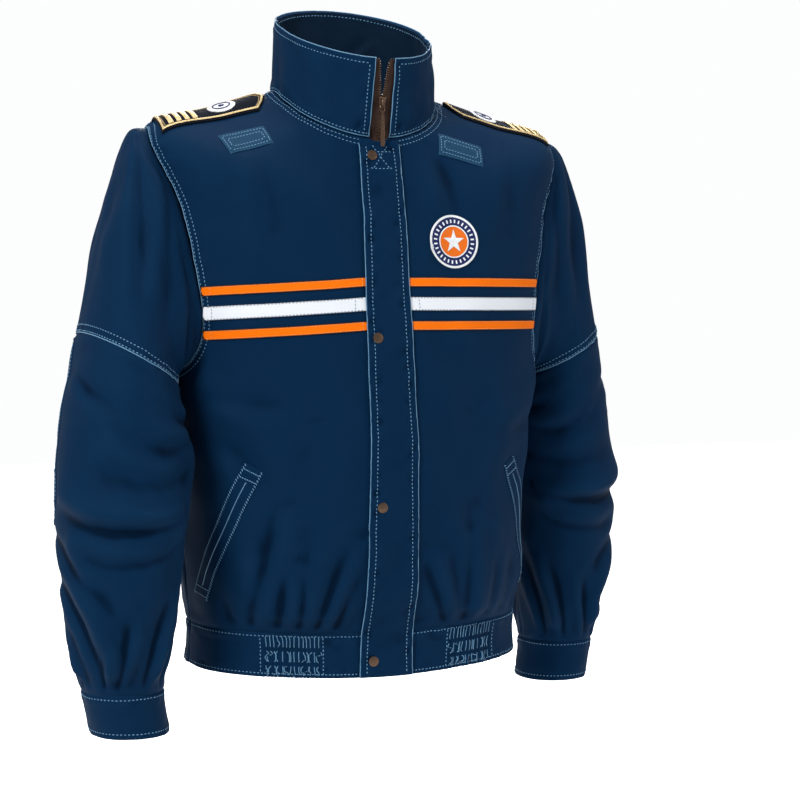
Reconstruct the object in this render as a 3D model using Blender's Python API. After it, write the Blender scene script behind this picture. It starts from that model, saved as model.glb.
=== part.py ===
"""Softshell blouson jacket, filled out as if worn, with open neck, cuffs and hem.

Metres, +Z up, front facing -Y, wearer's left at +X. The origin is the middle of the neck opening,
level with the side of the neck. The body is one surface of (turn, level): turn is the angle round
the body from centre front, positive to the wearer's left, and level counts up the rings of TORSO.
Each sleeve is one surface of (round, station): round is 0 in front and a quarter turn on top.
"""

from collections import namedtuple
from math import pi, radians

import bmesh
import bpy
import numpy as np
from mathutils import Matrix, Vector

# Cloth and gaps
CLOTH = 0.0020
COLLAR_CLOTH = 0.0030
TAPE_CLOTH = 0.0010
SEAM_GAP = 0.00035
LAY_GAP = 0.0005

# Body rings from the hem up. Depths are measured forward and backward from the body's axis.
Ring = namedtuple("Ring", "name front_z side_z back_z half_width front_depth back_depth")
TORSO = (
    Ring("hem edge", -0.618, -0.609, -0.620, 0.185, 0.108, 0.106),
    Ring("hem seam", -0.571, -0.564, -0.573, 0.183, 0.111, 0.108),
    Ring("blouse", -0.524, -0.522, -0.525, 0.188, 0.126, 0.115),
    Ring("waist", -0.446, -0.446, -0.446, 0.190, 0.131, 0.118),
    Ring("ribs", -0.370, -0.372, -0.372, 0.197, 0.132, 0.124),
    Ring("underarm", -0.300, -0.298, -0.300, 0.204, 0.130, 0.129),
    Ring("chest", -0.250, -0.200, -0.228, 0.213, 0.128, 0.132),
    Ring("blades", -0.203, -0.112, -0.168, 0.222, 0.122, 0.132),
    Ring("shoulder tip", -0.156, -0.045, -0.112, 0.228, 0.114, 0.122),
    Ring("shoulder", -0.104, -0.023, -0.047, 0.158, 0.100, 0.100),
    Ring("neck seam", -0.056, -0.002, 0.012, 0.0875, 0.086, 0.070),
)
HEM_SEAM, UNDERARM, SHOULDER_TIP, NECK = 1, 5, 8, 10
BODY_SQUARENESS = 2.35
RIDGE_ROUNDNESS = 1.25

# Armhole, an upright oval round each side of the body
ARMHOLE_POINTS = 20
ARMHOLE_TURN = radians(18)
ARMHOLE_SCOOP = 0.5
ARMHOLE_SQUARENESS = 2.5
SHOULDER_SEAM_BACK = radians(13)
FRONT_EDGE = 0.0075

# Half gaps at the seams that run round the body, in levels
HEM_SEAM_GAP = 0.007
NECK_SEAM_GAP = 0.005
YOKE_SEAM_GAP = 0.006

# Sleeve stations. Outer and inner are the two ends of the oval, as seen from the front. The right
# arm hangs a little forward and the left a little back, by the two sways in y.
Station = namedtuple("Station", "name outer_x outer_z inner_x inner_z half_depth right_sway left_sway")
SLEEVE = (
    Station("armhole", 0.228, -0.045, 0.2050, -0.298, 0.066, 0.000, 0.000),
    Station("cap", 0.247, -0.052, 0.2065, -0.300, 0.073, -0.003, 0.010),
    Station("upper arm", 0.266, -0.105, 0.2075, -0.303, 0.079, -0.009, 0.026),
    Station("biceps", 0.285, -0.175, 0.2085, -0.307, 0.083, -0.019, 0.038),
    Station("arm seam", 0.306, -0.258, 0.2090, -0.312, 0.084, -0.034, 0.047),
    Station("above elbow", 0.318, -0.302, 0.2045, -0.347, 0.083, -0.046, 0.052),
    Station("elbow", 0.330, -0.355, 0.1975, -0.382, 0.081, -0.057, 0.055),
    Station("below elbow", 0.3365, -0.420, 0.2040, -0.430, 0.078, -0.067, 0.058),
    Station("forearm", 0.3365, -0.470, 0.2120, -0.475, 0.074, -0.071, 0.059),
    Station("blouse top", 0.3300, -0.521, 0.2180, -0.520, 0.068, -0.073, 0.058),
    Station("blouse", 0.3220, -0.571, 0.2260, -0.570, 0.059, -0.072, 0.056),
    Station("cuff seam", 0.3145, -0.617, 0.2315, -0.617, 0.046, -0.070, 0.053),
    Station("cuff edge", 0.3055, -0.662, 0.2255, -0.662, 0.044, -0.068, 0.050),
)
ARM_SEAM, CUFF_SEAM, CUFF_EDGE = 4, 11, 12
SLEEVE_SQUARENESS = 2.15
SLEEVE_SEAM_GAP = 0.003
CUFF_SEAM_GAP = 0.004

# Folds big enough to stand in the cloth: two ends on the front or back, in x and z
Fold = namedtuple("Fold", "place x_low z_low x_high z_high width depth")
BODY_FOLDS = (
    Fold("front", -0.120, -0.574, -0.146, -0.500, 0.015, 0.008),
    Fold("front", -0.098, -0.574, -0.112, -0.455, 0.015, 0.010),
    Fold("front", -0.076, -0.574, -0.078, -0.490, 0.013, 0.007),
    Fold("front", -0.064, -0.574, -0.052, -0.460, 0.013, 0.004),
    Fold("front", 0.067, -0.574, 0.055, -0.500, 0.012, 0.005),
    Fold("front", 0.086, -0.574, 0.090, -0.480, 0.014, 0.009),
    Fold("front", 0.106, -0.574, 0.124, -0.470, 0.015, 0.009),
    Fold("front", 0.130, -0.574, 0.152, -0.530, 0.013, 0.006),
    Fold("front", -0.186, -0.315, -0.122, -0.372, 0.020, 0.005),
    Fold("front", 0.186, -0.315, 0.126, -0.376, 0.020, 0.005),
    Fold("back", -0.158, -0.574, -0.172, -0.510, 0.014, 0.007),
    Fold("back", -0.134, -0.574, -0.138, -0.460, 0.016, 0.010),
    Fold("back", -0.108, -0.574, -0.088, -0.500, 0.014, 0.007),
    Fold("back", 0.106, -0.574, 0.084, -0.490, 0.014, 0.008),
    Fold("back", 0.134, -0.574, 0.142, -0.450, 0.016, 0.010),
    Fold("back", 0.158, -0.574, 0.174, -0.520, 0.013, 0.006),
    Fold("back", -0.150, -0.180, -0.085, -0.262, 0.024, 0.005),
    Fold("back", 0.150, -0.180, 0.095, -0.268, 0.024, 0.005),
)
# Sleeve folds: the turn round the sleeve and the station of each end
SleeveFold = namedtuple("SleeveFold", "round_a station_a round_b station_b width depth")
SLEEVE_FOLDS = (
    SleeveFold(-35, 7.4, 75, 6.9, 0.018, 0.008),
    SleeveFold(-50, 6.3, 60, 5.5, 0.018, -0.005),
    SleeveFold(25, 10.3, 62, 8.0, 0.018, 0.009),
    SleeveFold(-30, 10.4, -55, 8.6, 0.016, 0.006),
    SleeveFold(130, 6.6, 225, 7.2, 0.018, 0.006),
    SleeveFold(125, 10.2, 160, 8.1, 0.018, 0.008),
    SleeveFold(215, 10.2, 240, 8.4, 0.016, 0.006),
    SleeveFold(80, 10.4, 100, 9.0, 0.016, 0.006),
    SleeveFold(70, 2.8, 20, 1.2, 0.022, 0.005),
    SleeveFold(120, 2.9, 165, 1.5, 0.022, 0.005),
)

# Hem band and its shirred stretches
SHIRRING = {"front": (0.070, 0.130), "back": (0.102, 0.166)}
GATHERS = 14
GATHER_HEIGHT = 0.0016

# Stand collar, from the neck seam to its top edge
COLLAR_TOP_WIDTH = 0.0826
COLLAR_TOP_FRONT = 0.108
COLLAR_TOP_BACK = 0.076
COLLAR_TOP_Z = 0.068
COLLAR_TOP_SLOPE = 0.40
COLLAR_OPENING = 0.011
COLLAR_SEAM_RISE = 0.006

# Storm flap: its two edges at five heights
FlapRow = namedtuple("FlapRow", "z right_x left_x")
FLAP = (
    FlapRow(-0.0585, -0.0235, 0.0205),
    FlapRow(-0.230, -0.0300, 0.0180),
    FlapRow(-0.370, -0.0270, 0.0245),
    FlapRow(-0.500, -0.0290, 0.0260),
    FlapRow(-0.6180, -0.0305, 0.0275),
)
FLAP_CLOTH = 0.0024

# Zip
ZIP_TAPE_WIDTH = 0.015
ZIP_MIDDLE_GAP = 0.0012
ZIP_PARTED = 0.006
ZIP_TAPE_BEND = 0.0020
ZIP_TAPE_COLLAR_BEND = 0.0009
SLIDER_RISE = 0.45
SLIDER_GAP = 0.0003
SLIDER_SIZE = (0.0090, 0.0032, 0.0120)
BRIDGE_WIDTH = 0.0026
BRIDGE_THICKNESS = 0.0010
BRIDGE_ROOM = 0.0026
BRIDGE_LENGTH = 0.0080
BRIDGE_SUNK = 0.0006
PULL_BAR = 0.0014
PULL_WIDTH = 0.0070
PULL_WINDOW = 0.0070
PULL_PLAY = 0.0016
PULL_LENGTH = 0.0440

# Reflective tapes across the body, each at a height from the middle one
Tape = namedtuple("Tape", "name offset width colour")
TAPES = (
    Tape("upper", 0.0225, 0.010, "orange"),
    Tape("middle", 0.0, 0.015, "white"),
    Tape("lower", -0.0225, 0.010, "orange"),
)
FRONT_TAPE_Z = -0.228
RIGHT_TAPE_DROP = 0.010
TAPE_END_TURN = 0.020
BACK_TAPE_Z = -0.343
BACK_TAPE_SAG = 0.006
BACK_TAPE_SPREAD = 0.85
BACK_TAPE_GAP = 0.0009

# Yoke seam on the back, from one of the armhole's points
YOKE_ARMHOLE_POINT = 6
YOKE_SAG = 0.004

# Elbow patch, cuffs and studs
ROUND_LENGTH = 0.080
STATION_LENGTH = 0.050
LOWER_STATIONS = np.array([4.9, 5.8, 6.7, 7.6, 8.5, 9.4, 10.3])
ELBOW_PATCH_END = 7.6
PATCH_CLOTH = 0.0012
CUFF_START = 162
CUFF_LAP = 27
SNAP_RADIUS = 0.0055
SNAP_TOP_RADIUS = 0.0044
SNAP_HEIGHT = 0.0018
SNAP_SEAT = 0.0004
FLAP_SNAPS = ((-0.0115, -0.075), (-0.0190, -0.263), (-0.0150, -0.437), (-0.0165, -0.600))

# On the fronts: the pocket's corners in degrees of turn and height, the loop's in x and z
POCKET_CORNERS = ((57, -0.390), (52, -0.400), (74.5, -0.538), (81.5, -0.533))
POCKET_CLOTH = 0.0011
POCKET_GAP = 0.0011
LOOP_CORNERS = {
    "right": ((-0.168, -0.056), (-0.118, -0.044), (-0.113, -0.063), (-0.160, -0.076)),
    "left": ((0.072, -0.047), (0.121, -0.060), (0.116, -0.083), (0.067, -0.070)),
}
LOOP_CLOTH = 0.0015
BADGE_MIDDLE = (0.072, -0.163)
BADGE_RADIUS = 0.028
BADGE_THICKNESS = 0.0012
SLEEVE_BADGE_STATIONS = (2.72, 3.22)
SLEEVE_BADGE_GAP = 0.0010

# Shoulder boards
BOARD_OUTER_X = 0.219
BOARD_MIDDLE_Y = -0.012
BOARD_LENGTH = 0.118
BOARD_WIDTH = 0.050
BOARD_POINT = 0.014
BOARD_CLOTH = 0.0024
BRAID_INSET = 0.0015
BRAID_WIDTH = 0.0022
BRAID_THICKNESS = 0.0010
BRAID_GAP = 0.0008
BARS = 4
BAR_START = 0.0090
BAR_PITCH = 0.0085
BAR_WIDTH = 0.0050
BAR_REACH = 0.0185
DISC_ALONG = 0.070
DISC_RADIUS = 0.0150

COLOURS = {
    "navy": (0.004, 0.022, 0.060, 0.85, 0.0),
    "navy_light": (0.012, 0.050, 0.110, 0.85, 0.0),
    "orange": (0.95, 0.19, 0.0, 0.75, 0.0),
    "white": (0.85, 0.87, 0.90, 0.55, 0.0),
    "board": (0.006, 0.007, 0.012, 0.9, 0.0),
    "gold": (0.72, 0.52, 0.22, 0.45, 0.4),
    "zip_tape": (0.05, 0.035, 0.03, 0.8, 0.0),
    "bronze": (0.16, 0.10, 0.06, 0.35, 0.9),
    "blue": (0.02, 0.07, 0.25, 0.6, 0.0),
}


def clear_scene():
    for old in list(bpy.data.objects):
        bpy.data.objects.remove(old, do_unlink=True)


def material(colour):
    if colour in bpy.data.materials:
        return bpy.data.materials[colour]
    red, green, blue, roughness, metallic = COLOURS[colour]
    made = bpy.data.materials.new(colour)
    made.use_nodes = True
    shader = made.node_tree.nodes["Principled BSDF"]
    shader.inputs["Base Color"].default_value = (red, green, blue, 1)
    shader.inputs["Roughness"].default_value = roughness
    shader.inputs["Metallic"].default_value = metallic
    return made


def place(name, mesh_data, colour):
    """One named object from a bmesh, smooth but for its sharp rims."""
    mesh = bpy.data.meshes.new(name)
    bmesh.ops.recalc_face_normals(mesh_data, faces=mesh_data.faces)
    mesh_data.to_mesh(mesh)
    mesh_data.free()
    mesh.shade_smooth()
    mesh.set_sharp_from_angle(angle=radians(40))
    mesh.materials.append(material(colour))
    made = bpy.data.objects.new(name, mesh)
    bpy.data.collections["jacket"].objects.link(made)
    return made


def wall(name, outer, inner, colour, closed=False):
    """A cloth wall between an outer and an inner grid of points, round a tube if closed."""
    rows, points = outer.shape[:2]
    sheet = bmesh.new()
    layers = []
    for grid in (outer, inner):
        layers.append([[sheet.verts.new(point) for point in row] for row in grid])
    out, back = layers
    steps = points if closed else points - 1
    for low in range(rows - 1):
        high = low + 1
        for here in range(steps):
            after = (here + 1) % points
            for layer in layers:
                corners = (layer[low][here], layer[low][after], layer[high][after], layer[high][here])
                sheet.faces.new(corners)
    for row in (0, rows - 1):
        for here in range(steps):
            after = (here + 1) % points
            sheet.faces.new((out[row][here], out[row][after], back[row][after], back[row][here]))
    if not closed:
        for side in (0, points - 1):
            for low in range(rows - 1):
                high = low + 1
                sheet.faces.new((out[low][side], out[high][side], back[high][side], back[low][side]))
    return place(name, sheet, colour)


def between(values, at):
    """A smooth curve through values at 0, 1, 2 and so on, read at any place between them."""
    values = np.asarray(values, float)
    at = np.clip(np.asarray(at, float), 0, len(values) - 1)
    low = np.minimum(at.astype(int), len(values) - 2)
    part = at - low
    padded = np.concatenate([[2 * values[0] - values[1]], values, [2 * values[-1] - values[-2]]])
    before, start, end, after = (padded[low + k] for k in range(4))
    rise_start = (end - before) / 2
    rise_end = (after - start) / 2
    step = end - start
    bend = 3 * step - 2 * rise_start - rise_end
    return start + part * (rise_start + part * (bend + part * (rise_start + rise_end - 2 * step)))


def column(table, name):
    return [getattr(row, name) for row in table]


def signed_power(value, power):
    return np.sign(value) * np.abs(value) ** power


def unit(vectors):
    return vectors / np.linalg.norm(vectors, axis=-1, keepdims=True)


def body_base(turn, level):
    """The body's surface before folds."""
    turn, level = np.broadcast_arrays(np.asarray(turn, float), np.asarray(level, float))
    front = np.cos(turn) > 0
    depth = np.where(
        front, between(column(TORSO, "front_depth"), level), between(column(TORSO, "back_depth"), level)
    )
    end_z = np.where(front, between(column(TORSO, "front_z"), level), between(column(TORSO, "back_z"), level))
    width = between(column(TORSO, "half_width"), level)
    across = np.abs(np.sin(turn) / width) ** BODY_SQUARENESS
    along = np.abs(np.cos(turn) / depth) ** BODY_SQUARENESS
    reach = (across + along) ** (-1 / BODY_SQUARENESS)
    side_share = 1 - np.abs(np.cos(turn)) ** RIDGE_ROUNDNESS
    z = end_z + (between(column(TORSO, "side_z"), level) - end_z) * side_share
    return np.stack([reach * np.sin(turn), -reach * np.cos(turn), z], axis=-1)


def normal_of(surface, a, b, outward_from):
    """Unit normals of surface(a, b), pointing away from the given inner points."""
    step = 1e-4
    along_a = surface(a + step, b) - surface(a - step, b)
    along_b = surface(a, b + step) - surface(a, b - step)
    normal = unit(np.cross(along_a, along_b))
    facing = np.sum(normal * (surface(a, b) - outward_from), axis=-1, keepdims=True)
    return np.where(facing < 0, -normal, normal)


def body_normal(turn, level):
    turn, level = np.broadcast_arrays(np.asarray(turn, float), np.asarray(level, float))
    point = body_base(turn, level)
    inside = point * [0.2, 0.2, 1] - [0, 0, 0.10]
    return normal_of(body_base, turn, level, inside)


def ridge(along_x, along_y, ends, width):
    """Height from 0 to 1 of a soft fold round the line between two ends, fading towards both."""
    (start_x, start_y), (end_x, end_y) = ends
    run_x, run_y = end_x - start_x, end_y - start_y
    part = ((along_x - start_x) * run_x + (along_y - start_y) * run_y) / (run_x**2 + run_y**2)
    held = np.clip(part, 0, 1)
    away = np.hypot(along_x - start_x - held * run_x, along_y - start_y - held * run_y)
    return np.exp(-((away / width) ** 2)) * (1 - 0.45 * held)


def body_fold(turn, level):
    """How far the folds lift the cloth, fading out at the hem seam."""
    point = body_base(turn, level)
    front = np.cos(np.asarray(turn) + 0 * point[..., 0]) > 0
    lifted = np.zeros(point.shape[:-1])
    for fold in BODY_FOLDS:
        ends = ((fold.x_low, fold.z_low), (fold.x_high, fold.z_high))
        height = fold.depth * ridge(point[..., 0], point[..., 2], ends, fold.width)
        lifted += np.where(front == (fold.place == "front"), height, 0)
    return lifted * np.clip((np.asarray(level) - HEM_SEAM) / 0.5, 0, 1)


def body(turn, level, lift=0.0):
    """A point on the body's cloth, lifted off its outer face."""
    lift = np.asarray(lift, float) + body_fold(turn, level)
    return body_base(turn, level) + lift[..., None] * body_normal(turn, level)


def find(axes, targets, turns, levels):
    """The (turn, level) of surface points whose two named axes have the target values."""
    targets = np.asarray(targets, float)
    grid_turn, grid_level = np.meshgrid(np.linspace(*turns, 41), np.linspace(*levels, 61))
    grid = body_base(grid_turn, grid_level)[..., axes].reshape(-1, 2)
    flat = targets.reshape(-1, 2)
    nearest = [np.argmin(np.sum((grid - target) ** 2, axis=1)) for target in flat]
    turn, level = grid_turn.ravel()[nearest], grid_level.ravel()[nearest]
    step = 1e-4
    for _ in range(12):
        here = body_base(turn, level)[:, axes]
        by_turn = (body_base(turn + step, level)[:, axes] - here) / step
        by_level = (body_base(turn, level + step)[:, axes] - here) / step
        miss = flat - here
        area = by_turn[:, 0] * by_level[:, 1] - by_turn[:, 1] * by_level[:, 0]
        area = np.where(np.abs(area) < 1e-7, 1e-7, area)
        turn = turn + np.clip((miss[:, 0] * by_level[:, 1] - miss[:, 1] * by_level[:, 0]) / area, -0.05, 0.05)
        level = level + np.clip((by_turn[:, 0] * miss[:, 1] - by_turn[:, 1] * miss[:, 0]) / area, -0.3, 0.3)
        level = np.clip(level, 0, NECK)
    shape = targets.shape[:-1]
    return turn.reshape(shape), level.reshape(shape)


def on_front(xz):
    return find([0, 2], xz, (radians(-85), radians(85)), (0, NECK))


def on_back(xz):
    return find([0, 2], xz, (radians(95), radians(265)), (0, NECK))


def on_shoulder(xy, side):
    return find([0, 1], xy, (side * radians(50), side * radians(115)), (SHOULDER_TIP - 0.4, NECK))


def patch(name, turn, level, thickness, colour, gap=LAY_GAP, closed=False):
    """A piece that lies on the body's cloth."""
    return wall(name, body(turn, level, gap + thickness), body(turn, level, gap), colour, closed)


def armhole(side, round_at):
    """The armhole seam as (turn, level)."""
    power = 2 / ARMHOLE_SQUARENESS
    scoop = 1 - ARMHOLE_SCOOP * np.sin(round_at)
    turn = side * (pi / 2 - ARMHOLE_TURN * scoop * signed_power(np.cos(round_at), power))
    half = (SHOULDER_TIP - UNDERARM) / 2
    level = UNDERARM + half * (1 + signed_power(np.sin(round_at), power))
    return turn, level


def armhole_rounds():
    """Where round the armhole its points lie: from the underarm up the front, over and down the back."""
    return -pi / 2 + 2 * pi * np.arange(ARMHOLE_POINTS) / ARMHOLE_POINTS


def armhole_edge(side):
    """The body's cloth round the armhole, outer and inner, just outside the sleeve's first ring."""
    turn, level = armhole(side, armhole_rounds())
    seam = body(turn, level)
    tangent = unit(np.roll(seam, -1, axis=0) - np.roll(seam, 1, axis=0))
    normal = body_normal(turn, level)
    away = np.cross(tangent, normal)
    outward = np.sum(away * (seam - seam.mean(axis=0)), axis=-1, keepdims=True)
    outer = seam + SEAM_GAP * np.where(outward < 0, -away, away)
    return outer, outer - CLOTH * normal


def armhole_levels():
    return armhole(1, armhole_rounds()[: ARMHOLE_POINTS // 2 + 1])[1]


def front_turn(level):
    """The turn of a front panel's centre edge."""
    return FRONT_EDGE / between(column(TORSO, "front_depth"), level)


def side_turn(level):
    """The turn of the side seam and, above the armhole, of the shoulder seam."""
    rise = np.clip((level - SHOULDER_TIP) / (NECK - SHOULDER_TIP), 0, 1)
    return pi / 2 + SHOULDER_SEAM_BACK * rise


def panel_levels():
    """Rows of the body panels, with those of the armhole."""
    below = [HEM_SEAM, 1.4, 1.8, 2.3, 3.0, 3.7, 4.4]
    above = [8.5, 9.0, 9.5, NECK]
    return np.concatenate([below, armhole_levels(), above])


def seam_shift(turn, level, shift):
    """A turn moved along the ring by a distance, either way."""
    reach = np.linalg.norm(body_base(turn, level)[..., :2], axis=-1)
    return turn + shift / reach


FRONT_SHARES = np.array([0, 0.1, 0.2, 0.28, 0.35, 0.42, 0.49, 0.56, 0.63, 0.71, 0.79, 0.87, 0.94, 1])
BACK_SHARES = np.linspace(0, 1, 21)


def nudge(outer, inner, at, toward):
    """Moves a corner of a panel half a seam gap towards its neighbour."""
    shift = unit(outer[toward] - outer[at]) * SEAM_GAP / 2
    outer[at] += shift
    inner[at] += shift


def level_at(turn, z):
    """The level at which a ring passes a height."""
    low = np.zeros(np.broadcast(turn, z).shape)
    high = low + NECK
    for _ in range(40):
        middle = (low + high) / 2
        above = body_base(turn, middle)[..., 2] > z
        low, high = np.where(above, low, middle), np.where(above, middle, high)
    return (low + high) / 2


def arm_turns(levels):
    """The turn of a front panel's outer edge at each row, from the hem seam to the neck."""
    edge = seam_shift(side_turn(levels), levels, -SEAM_GAP / 2)
    first = np.flatnonzero(np.isclose(levels, UNDERARM))[0]
    half = ARMHOLE_POINTS // 2
    edge[first : first + half + 1] = armhole(1, armhole_rounds()[: half + 1])[0]
    return edge, first, first + half


def front_panel(side_name, side):
    levels = panel_levels()
    edge, first, last = arm_turns(levels)
    start = front_turn(levels)
    turns = start[:, None] + (edge - start)[:, None] * FRONT_SHARES
    level_grid = np.repeat(levels[:, None], len(FRONT_SHARES), axis=1)
    level_grid[0] += HEM_SEAM_GAP
    level_grid[-1] -= NECK_SEAM_GAP
    outer = body(side * turns, level_grid)
    inner = body(side * turns, level_grid, -CLOTH)
    rim_outer, rim_inner = armhole_edge(side)
    for row in range(first, last + 1):
        outer[row, -1] = rim_outer[row - first]
        inner[row, -1] = rim_inner[row - first]
    nudge(outer, inner, (first, -1), (first, -2))
    nudge(outer, inner, (last, -1), (last, -2))
    wall("front_" + side_name, outer, inner, "navy")


def back_pieces():
    """The back panel and the yoke over it, which share the yoke seam."""
    levels = panel_levels()
    edge, first, last = arm_turns(levels)
    edge = np.where(levels > SHOULDER_TIP, seam_shift(side_turn(levels), levels, SEAM_GAP / 2), edge)
    edge = np.where(levels < UNDERARM, seam_shift(side_turn(levels), levels, SEAM_GAP / 2), edge)
    inside_arm = (levels >= UNDERARM) & (levels <= SHOULDER_TIP)
    edge = np.where(inside_arm, pi - edge, edge)
    turns = edge[:, None] + (2 * pi - 2 * edge)[:, None] * BACK_SHARES
    seam_row = first + YOKE_ARMHOLE_POINT
    seam_level = levels[seam_row]
    seam_z = body_base(edge[seam_row], seam_level)[2]
    top = level_at(turns[seam_row], seam_z - YOKE_SAG * np.sin(pi * BACK_SHARES))
    top[[0, -1]] = seam_level
    above_arm = np.maximum(levels[:, None] - UNDERARM, 0)
    lower = np.minimum(levels[:, None], UNDERARM) + above_arm * (top - UNDERARM) / (seam_level - UNDERARM)
    upper = NECK - (NECK - levels[:, None]) * (NECK - top) / (NECK - seam_level)
    for name, rows, level_grid, colour in (
        ("back_panel", slice(0, seam_row + 1), lower, "navy"),
        ("back_yoke", slice(seam_row, len(levels)), upper, "orange"),
    ):
        part_levels = level_grid[rows].copy()
        part_levels[0] += YOKE_SEAM_GAP
        part_levels[-1] -= YOKE_SEAM_GAP
        outer = body(turns[rows], part_levels)
        inner = body(turns[rows], part_levels, -CLOTH)
        start = rows.start
        for side, edge_column, next_column in ((1, 0, 1), (-1, -1, -2)):
            rim_outer, rim_inner = armhole_edge(side)
            for row in range(max(first, start), min(last + 1, rows.stop)):
                rim = (ARMHOLE_POINTS - (row - first)) % ARMHOLE_POINTS
                outer[row - start, edge_column] = rim_outer[rim]
                inner[row - start, edge_column] = rim_inner[rim]
            if name == "back_panel":
                nudge(outer, inner, (first, edge_column), (first, next_column))
                nudge(outer, inner, (-1, edge_column), (-2, edge_column))
            else:
                nudge(outer, inner, (last - start, edge_column), (last - start, next_column))
                nudge(outer, inner, (0, edge_column), (1, edge_column))
        wall(name, outer, inner, colour)


def sleeve_oval(side, round_at, station):
    """The oval ring of a sleeve, before it meets the armhole."""
    round_at, station = np.broadcast_arrays(np.asarray(round_at, float), np.asarray(station, float))
    outer_x, outer_z, inner_x, inner_z, half_depth, right_sway, left_sway = (
        between(column(SLEEVE, name), station) for name in Station._fields[1:]
    )
    power = 2 / SLEEVE_SQUARENESS
    up = signed_power(np.sin(round_at), power)
    forward = signed_power(np.cos(round_at), power)
    x = (outer_x + inner_x) / 2 + (outer_x - inner_x) / 2 * up
    z = (outer_z + inner_z) / 2 + (outer_z - inner_z) / 2 * up
    sway = right_sway if side < 0 else left_sway
    return np.stack([side * x, sway - half_depth * forward, z], axis=-1)


def sleeve_middle(side, round_at, station):
    ends = (sleeve_oval(side, quarter + 0 * round_at, station) for quarter in (-pi / 2, pi / 2))
    return sum(ends) / 2


def sleeve_base(side, round_at, station):
    """The sleeve's surface before folds: the oval ring, drawn to the armhole at its top."""
    point = sleeve_oval(side, round_at, station)
    seam = body(*armhole(side, round_at)) - sleeve_oval(side, round_at, 0 * station)
    share = np.clip(np.asarray(station, float) / ARM_SEAM, 0, 1)
    drawn = 1 - share * share * (3 - 2 * share)
    return point + seam * drawn[..., None]


def sleeve_normal(side, round_at, station):
    round_at, station = np.broadcast_arrays(np.asarray(round_at, float), np.asarray(station, float))
    held = np.clip(station, 2e-4, CUFF_EDGE - 2e-4)
    middle = sleeve_middle(side, round_at, held)
    return normal_of(lambda a, b: sleeve_base(side, a, b), round_at, held, middle)


def sleeve_fold(round_at, station):
    """How far the sleeve's folds lift it, in metres, fading at its three seams."""
    lifted = np.zeros(np.broadcast(round_at, station).shape)
    for fold in SLEEVE_FOLDS:
        middle = radians(fold.round_a + fold.round_b) / 2
        near = (round_at - middle + pi) % (2 * pi) - pi + middle
        ends = (
            (radians(fold.round_a) * ROUND_LENGTH, fold.station_a * STATION_LENGTH),
            (radians(fold.round_b) * ROUND_LENGTH, fold.station_b * STATION_LENGTH),
        )
        height = ridge(near * ROUND_LENGTH, station * STATION_LENGTH, ends, fold.width)
        lifted = lifted + fold.depth * height
    fade = np.ones(lifted.shape)
    for seam in (0, ARM_SEAM, CUFF_SEAM):
        fade = fade * np.clip(np.abs(station - seam) / 0.5, 0, 1)
    return lifted * np.where(station > CUFF_SEAM, 0, fade)


def sleeve(side, round_at, station, lift=0.0):
    """A point on a sleeve's cloth, lifted off its outer face."""
    round_at, station = np.broadcast_arrays(np.asarray(round_at, float), np.asarray(station, float))
    lift = np.asarray(lift, float) + sleeve_fold(round_at, station)
    return sleeve_base(side, round_at, station) + lift[..., None] * sleeve_normal(side, round_at, station)


def sleeve_pieces(side_name, side):
    rounds = armhole_rounds()
    upper = np.array([0, 0.4, 1.1, 2.0, 3.0, ARM_SEAM - SLEEVE_SEAM_GAP])[:, None]
    outer = sleeve(side, rounds, upper)
    inner = sleeve(side, rounds, upper, -CLOTH)
    body_facing = body_normal(*armhole(side, rounds))
    sleeve_facing = sleeve_normal(side, rounds, 0 * rounds)
    under = np.clip(-np.sin(rounds), 0, 1)[:, None] ** 2
    inner[0] = outer[0] - CLOTH * unit(body_facing + under * sleeve_facing)
    wall("sleeve_upper_" + side_name, outer, inner, "navy", closed=True)

    lower = np.concatenate([[ARM_SEAM + SLEEVE_SEAM_GAP], LOWER_STATIONS, [CUFF_SEAM - CUFF_SEAM_GAP]])
    lower = lower[:, None]
    shape = sleeve(side, rounds, lower)
    wall("sleeve_lower_" + side_name, shape, sleeve(side, rounds, lower, -CLOTH), "navy", closed=True)

    behind = radians(1) * np.array([99, 108, 126, 144, 162, 180, 198, 216, 234, 252, 261])
    elbow = np.concatenate([[ARM_SEAM + 0.06], LOWER_STATIONS[LOWER_STATIONS <= ELBOW_PATCH_END]])[:, None]
    wall(
        "elbow_patch_" + side_name,
        sleeve(side, behind, elbow, LAY_GAP + PATCH_CLOTH),
        sleeve(side, behind, elbow, LAY_GAP),
        "navy",
    )
    cuff(side_name, side)


def cuff(side_name, side):
    """A cuff band wrapped once round the wrist, its end lapped over its start behind the arm."""
    lap_lift = CLOTH + LAY_GAP
    turns = np.arange(CUFF_START, CUFF_START + 361, 18)
    rounds = np.radians(np.append(turns, [CUFF_START + 360 + 18, CUFF_START + 360 + CUFF_LAP]))
    lift = np.where(rounds > radians(CUFF_START + 359), lap_lift, 0)
    stations = np.array([CUFF_SEAM + CUFF_SEAM_GAP, 11.5, CUFF_EDGE])[:, None]
    wall(
        "cuff_" + side_name,
        sleeve(side, rounds, stations, lift),
        sleeve(side, rounds, stations, lift - CLOTH),
        "navy",
    )
    for name, at, raised in (("lap", CUFF_START + 9, lap_lift), ("spare", CUFF_START + 45, 0)):
        middle = (np.array(radians(at)), np.array(11.5))
        point = sleeve(side, *middle, raised)
        snap("snap_cuff_{}_{}".format(side_name, name), point, sleeve_normal(side, *middle))


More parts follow.
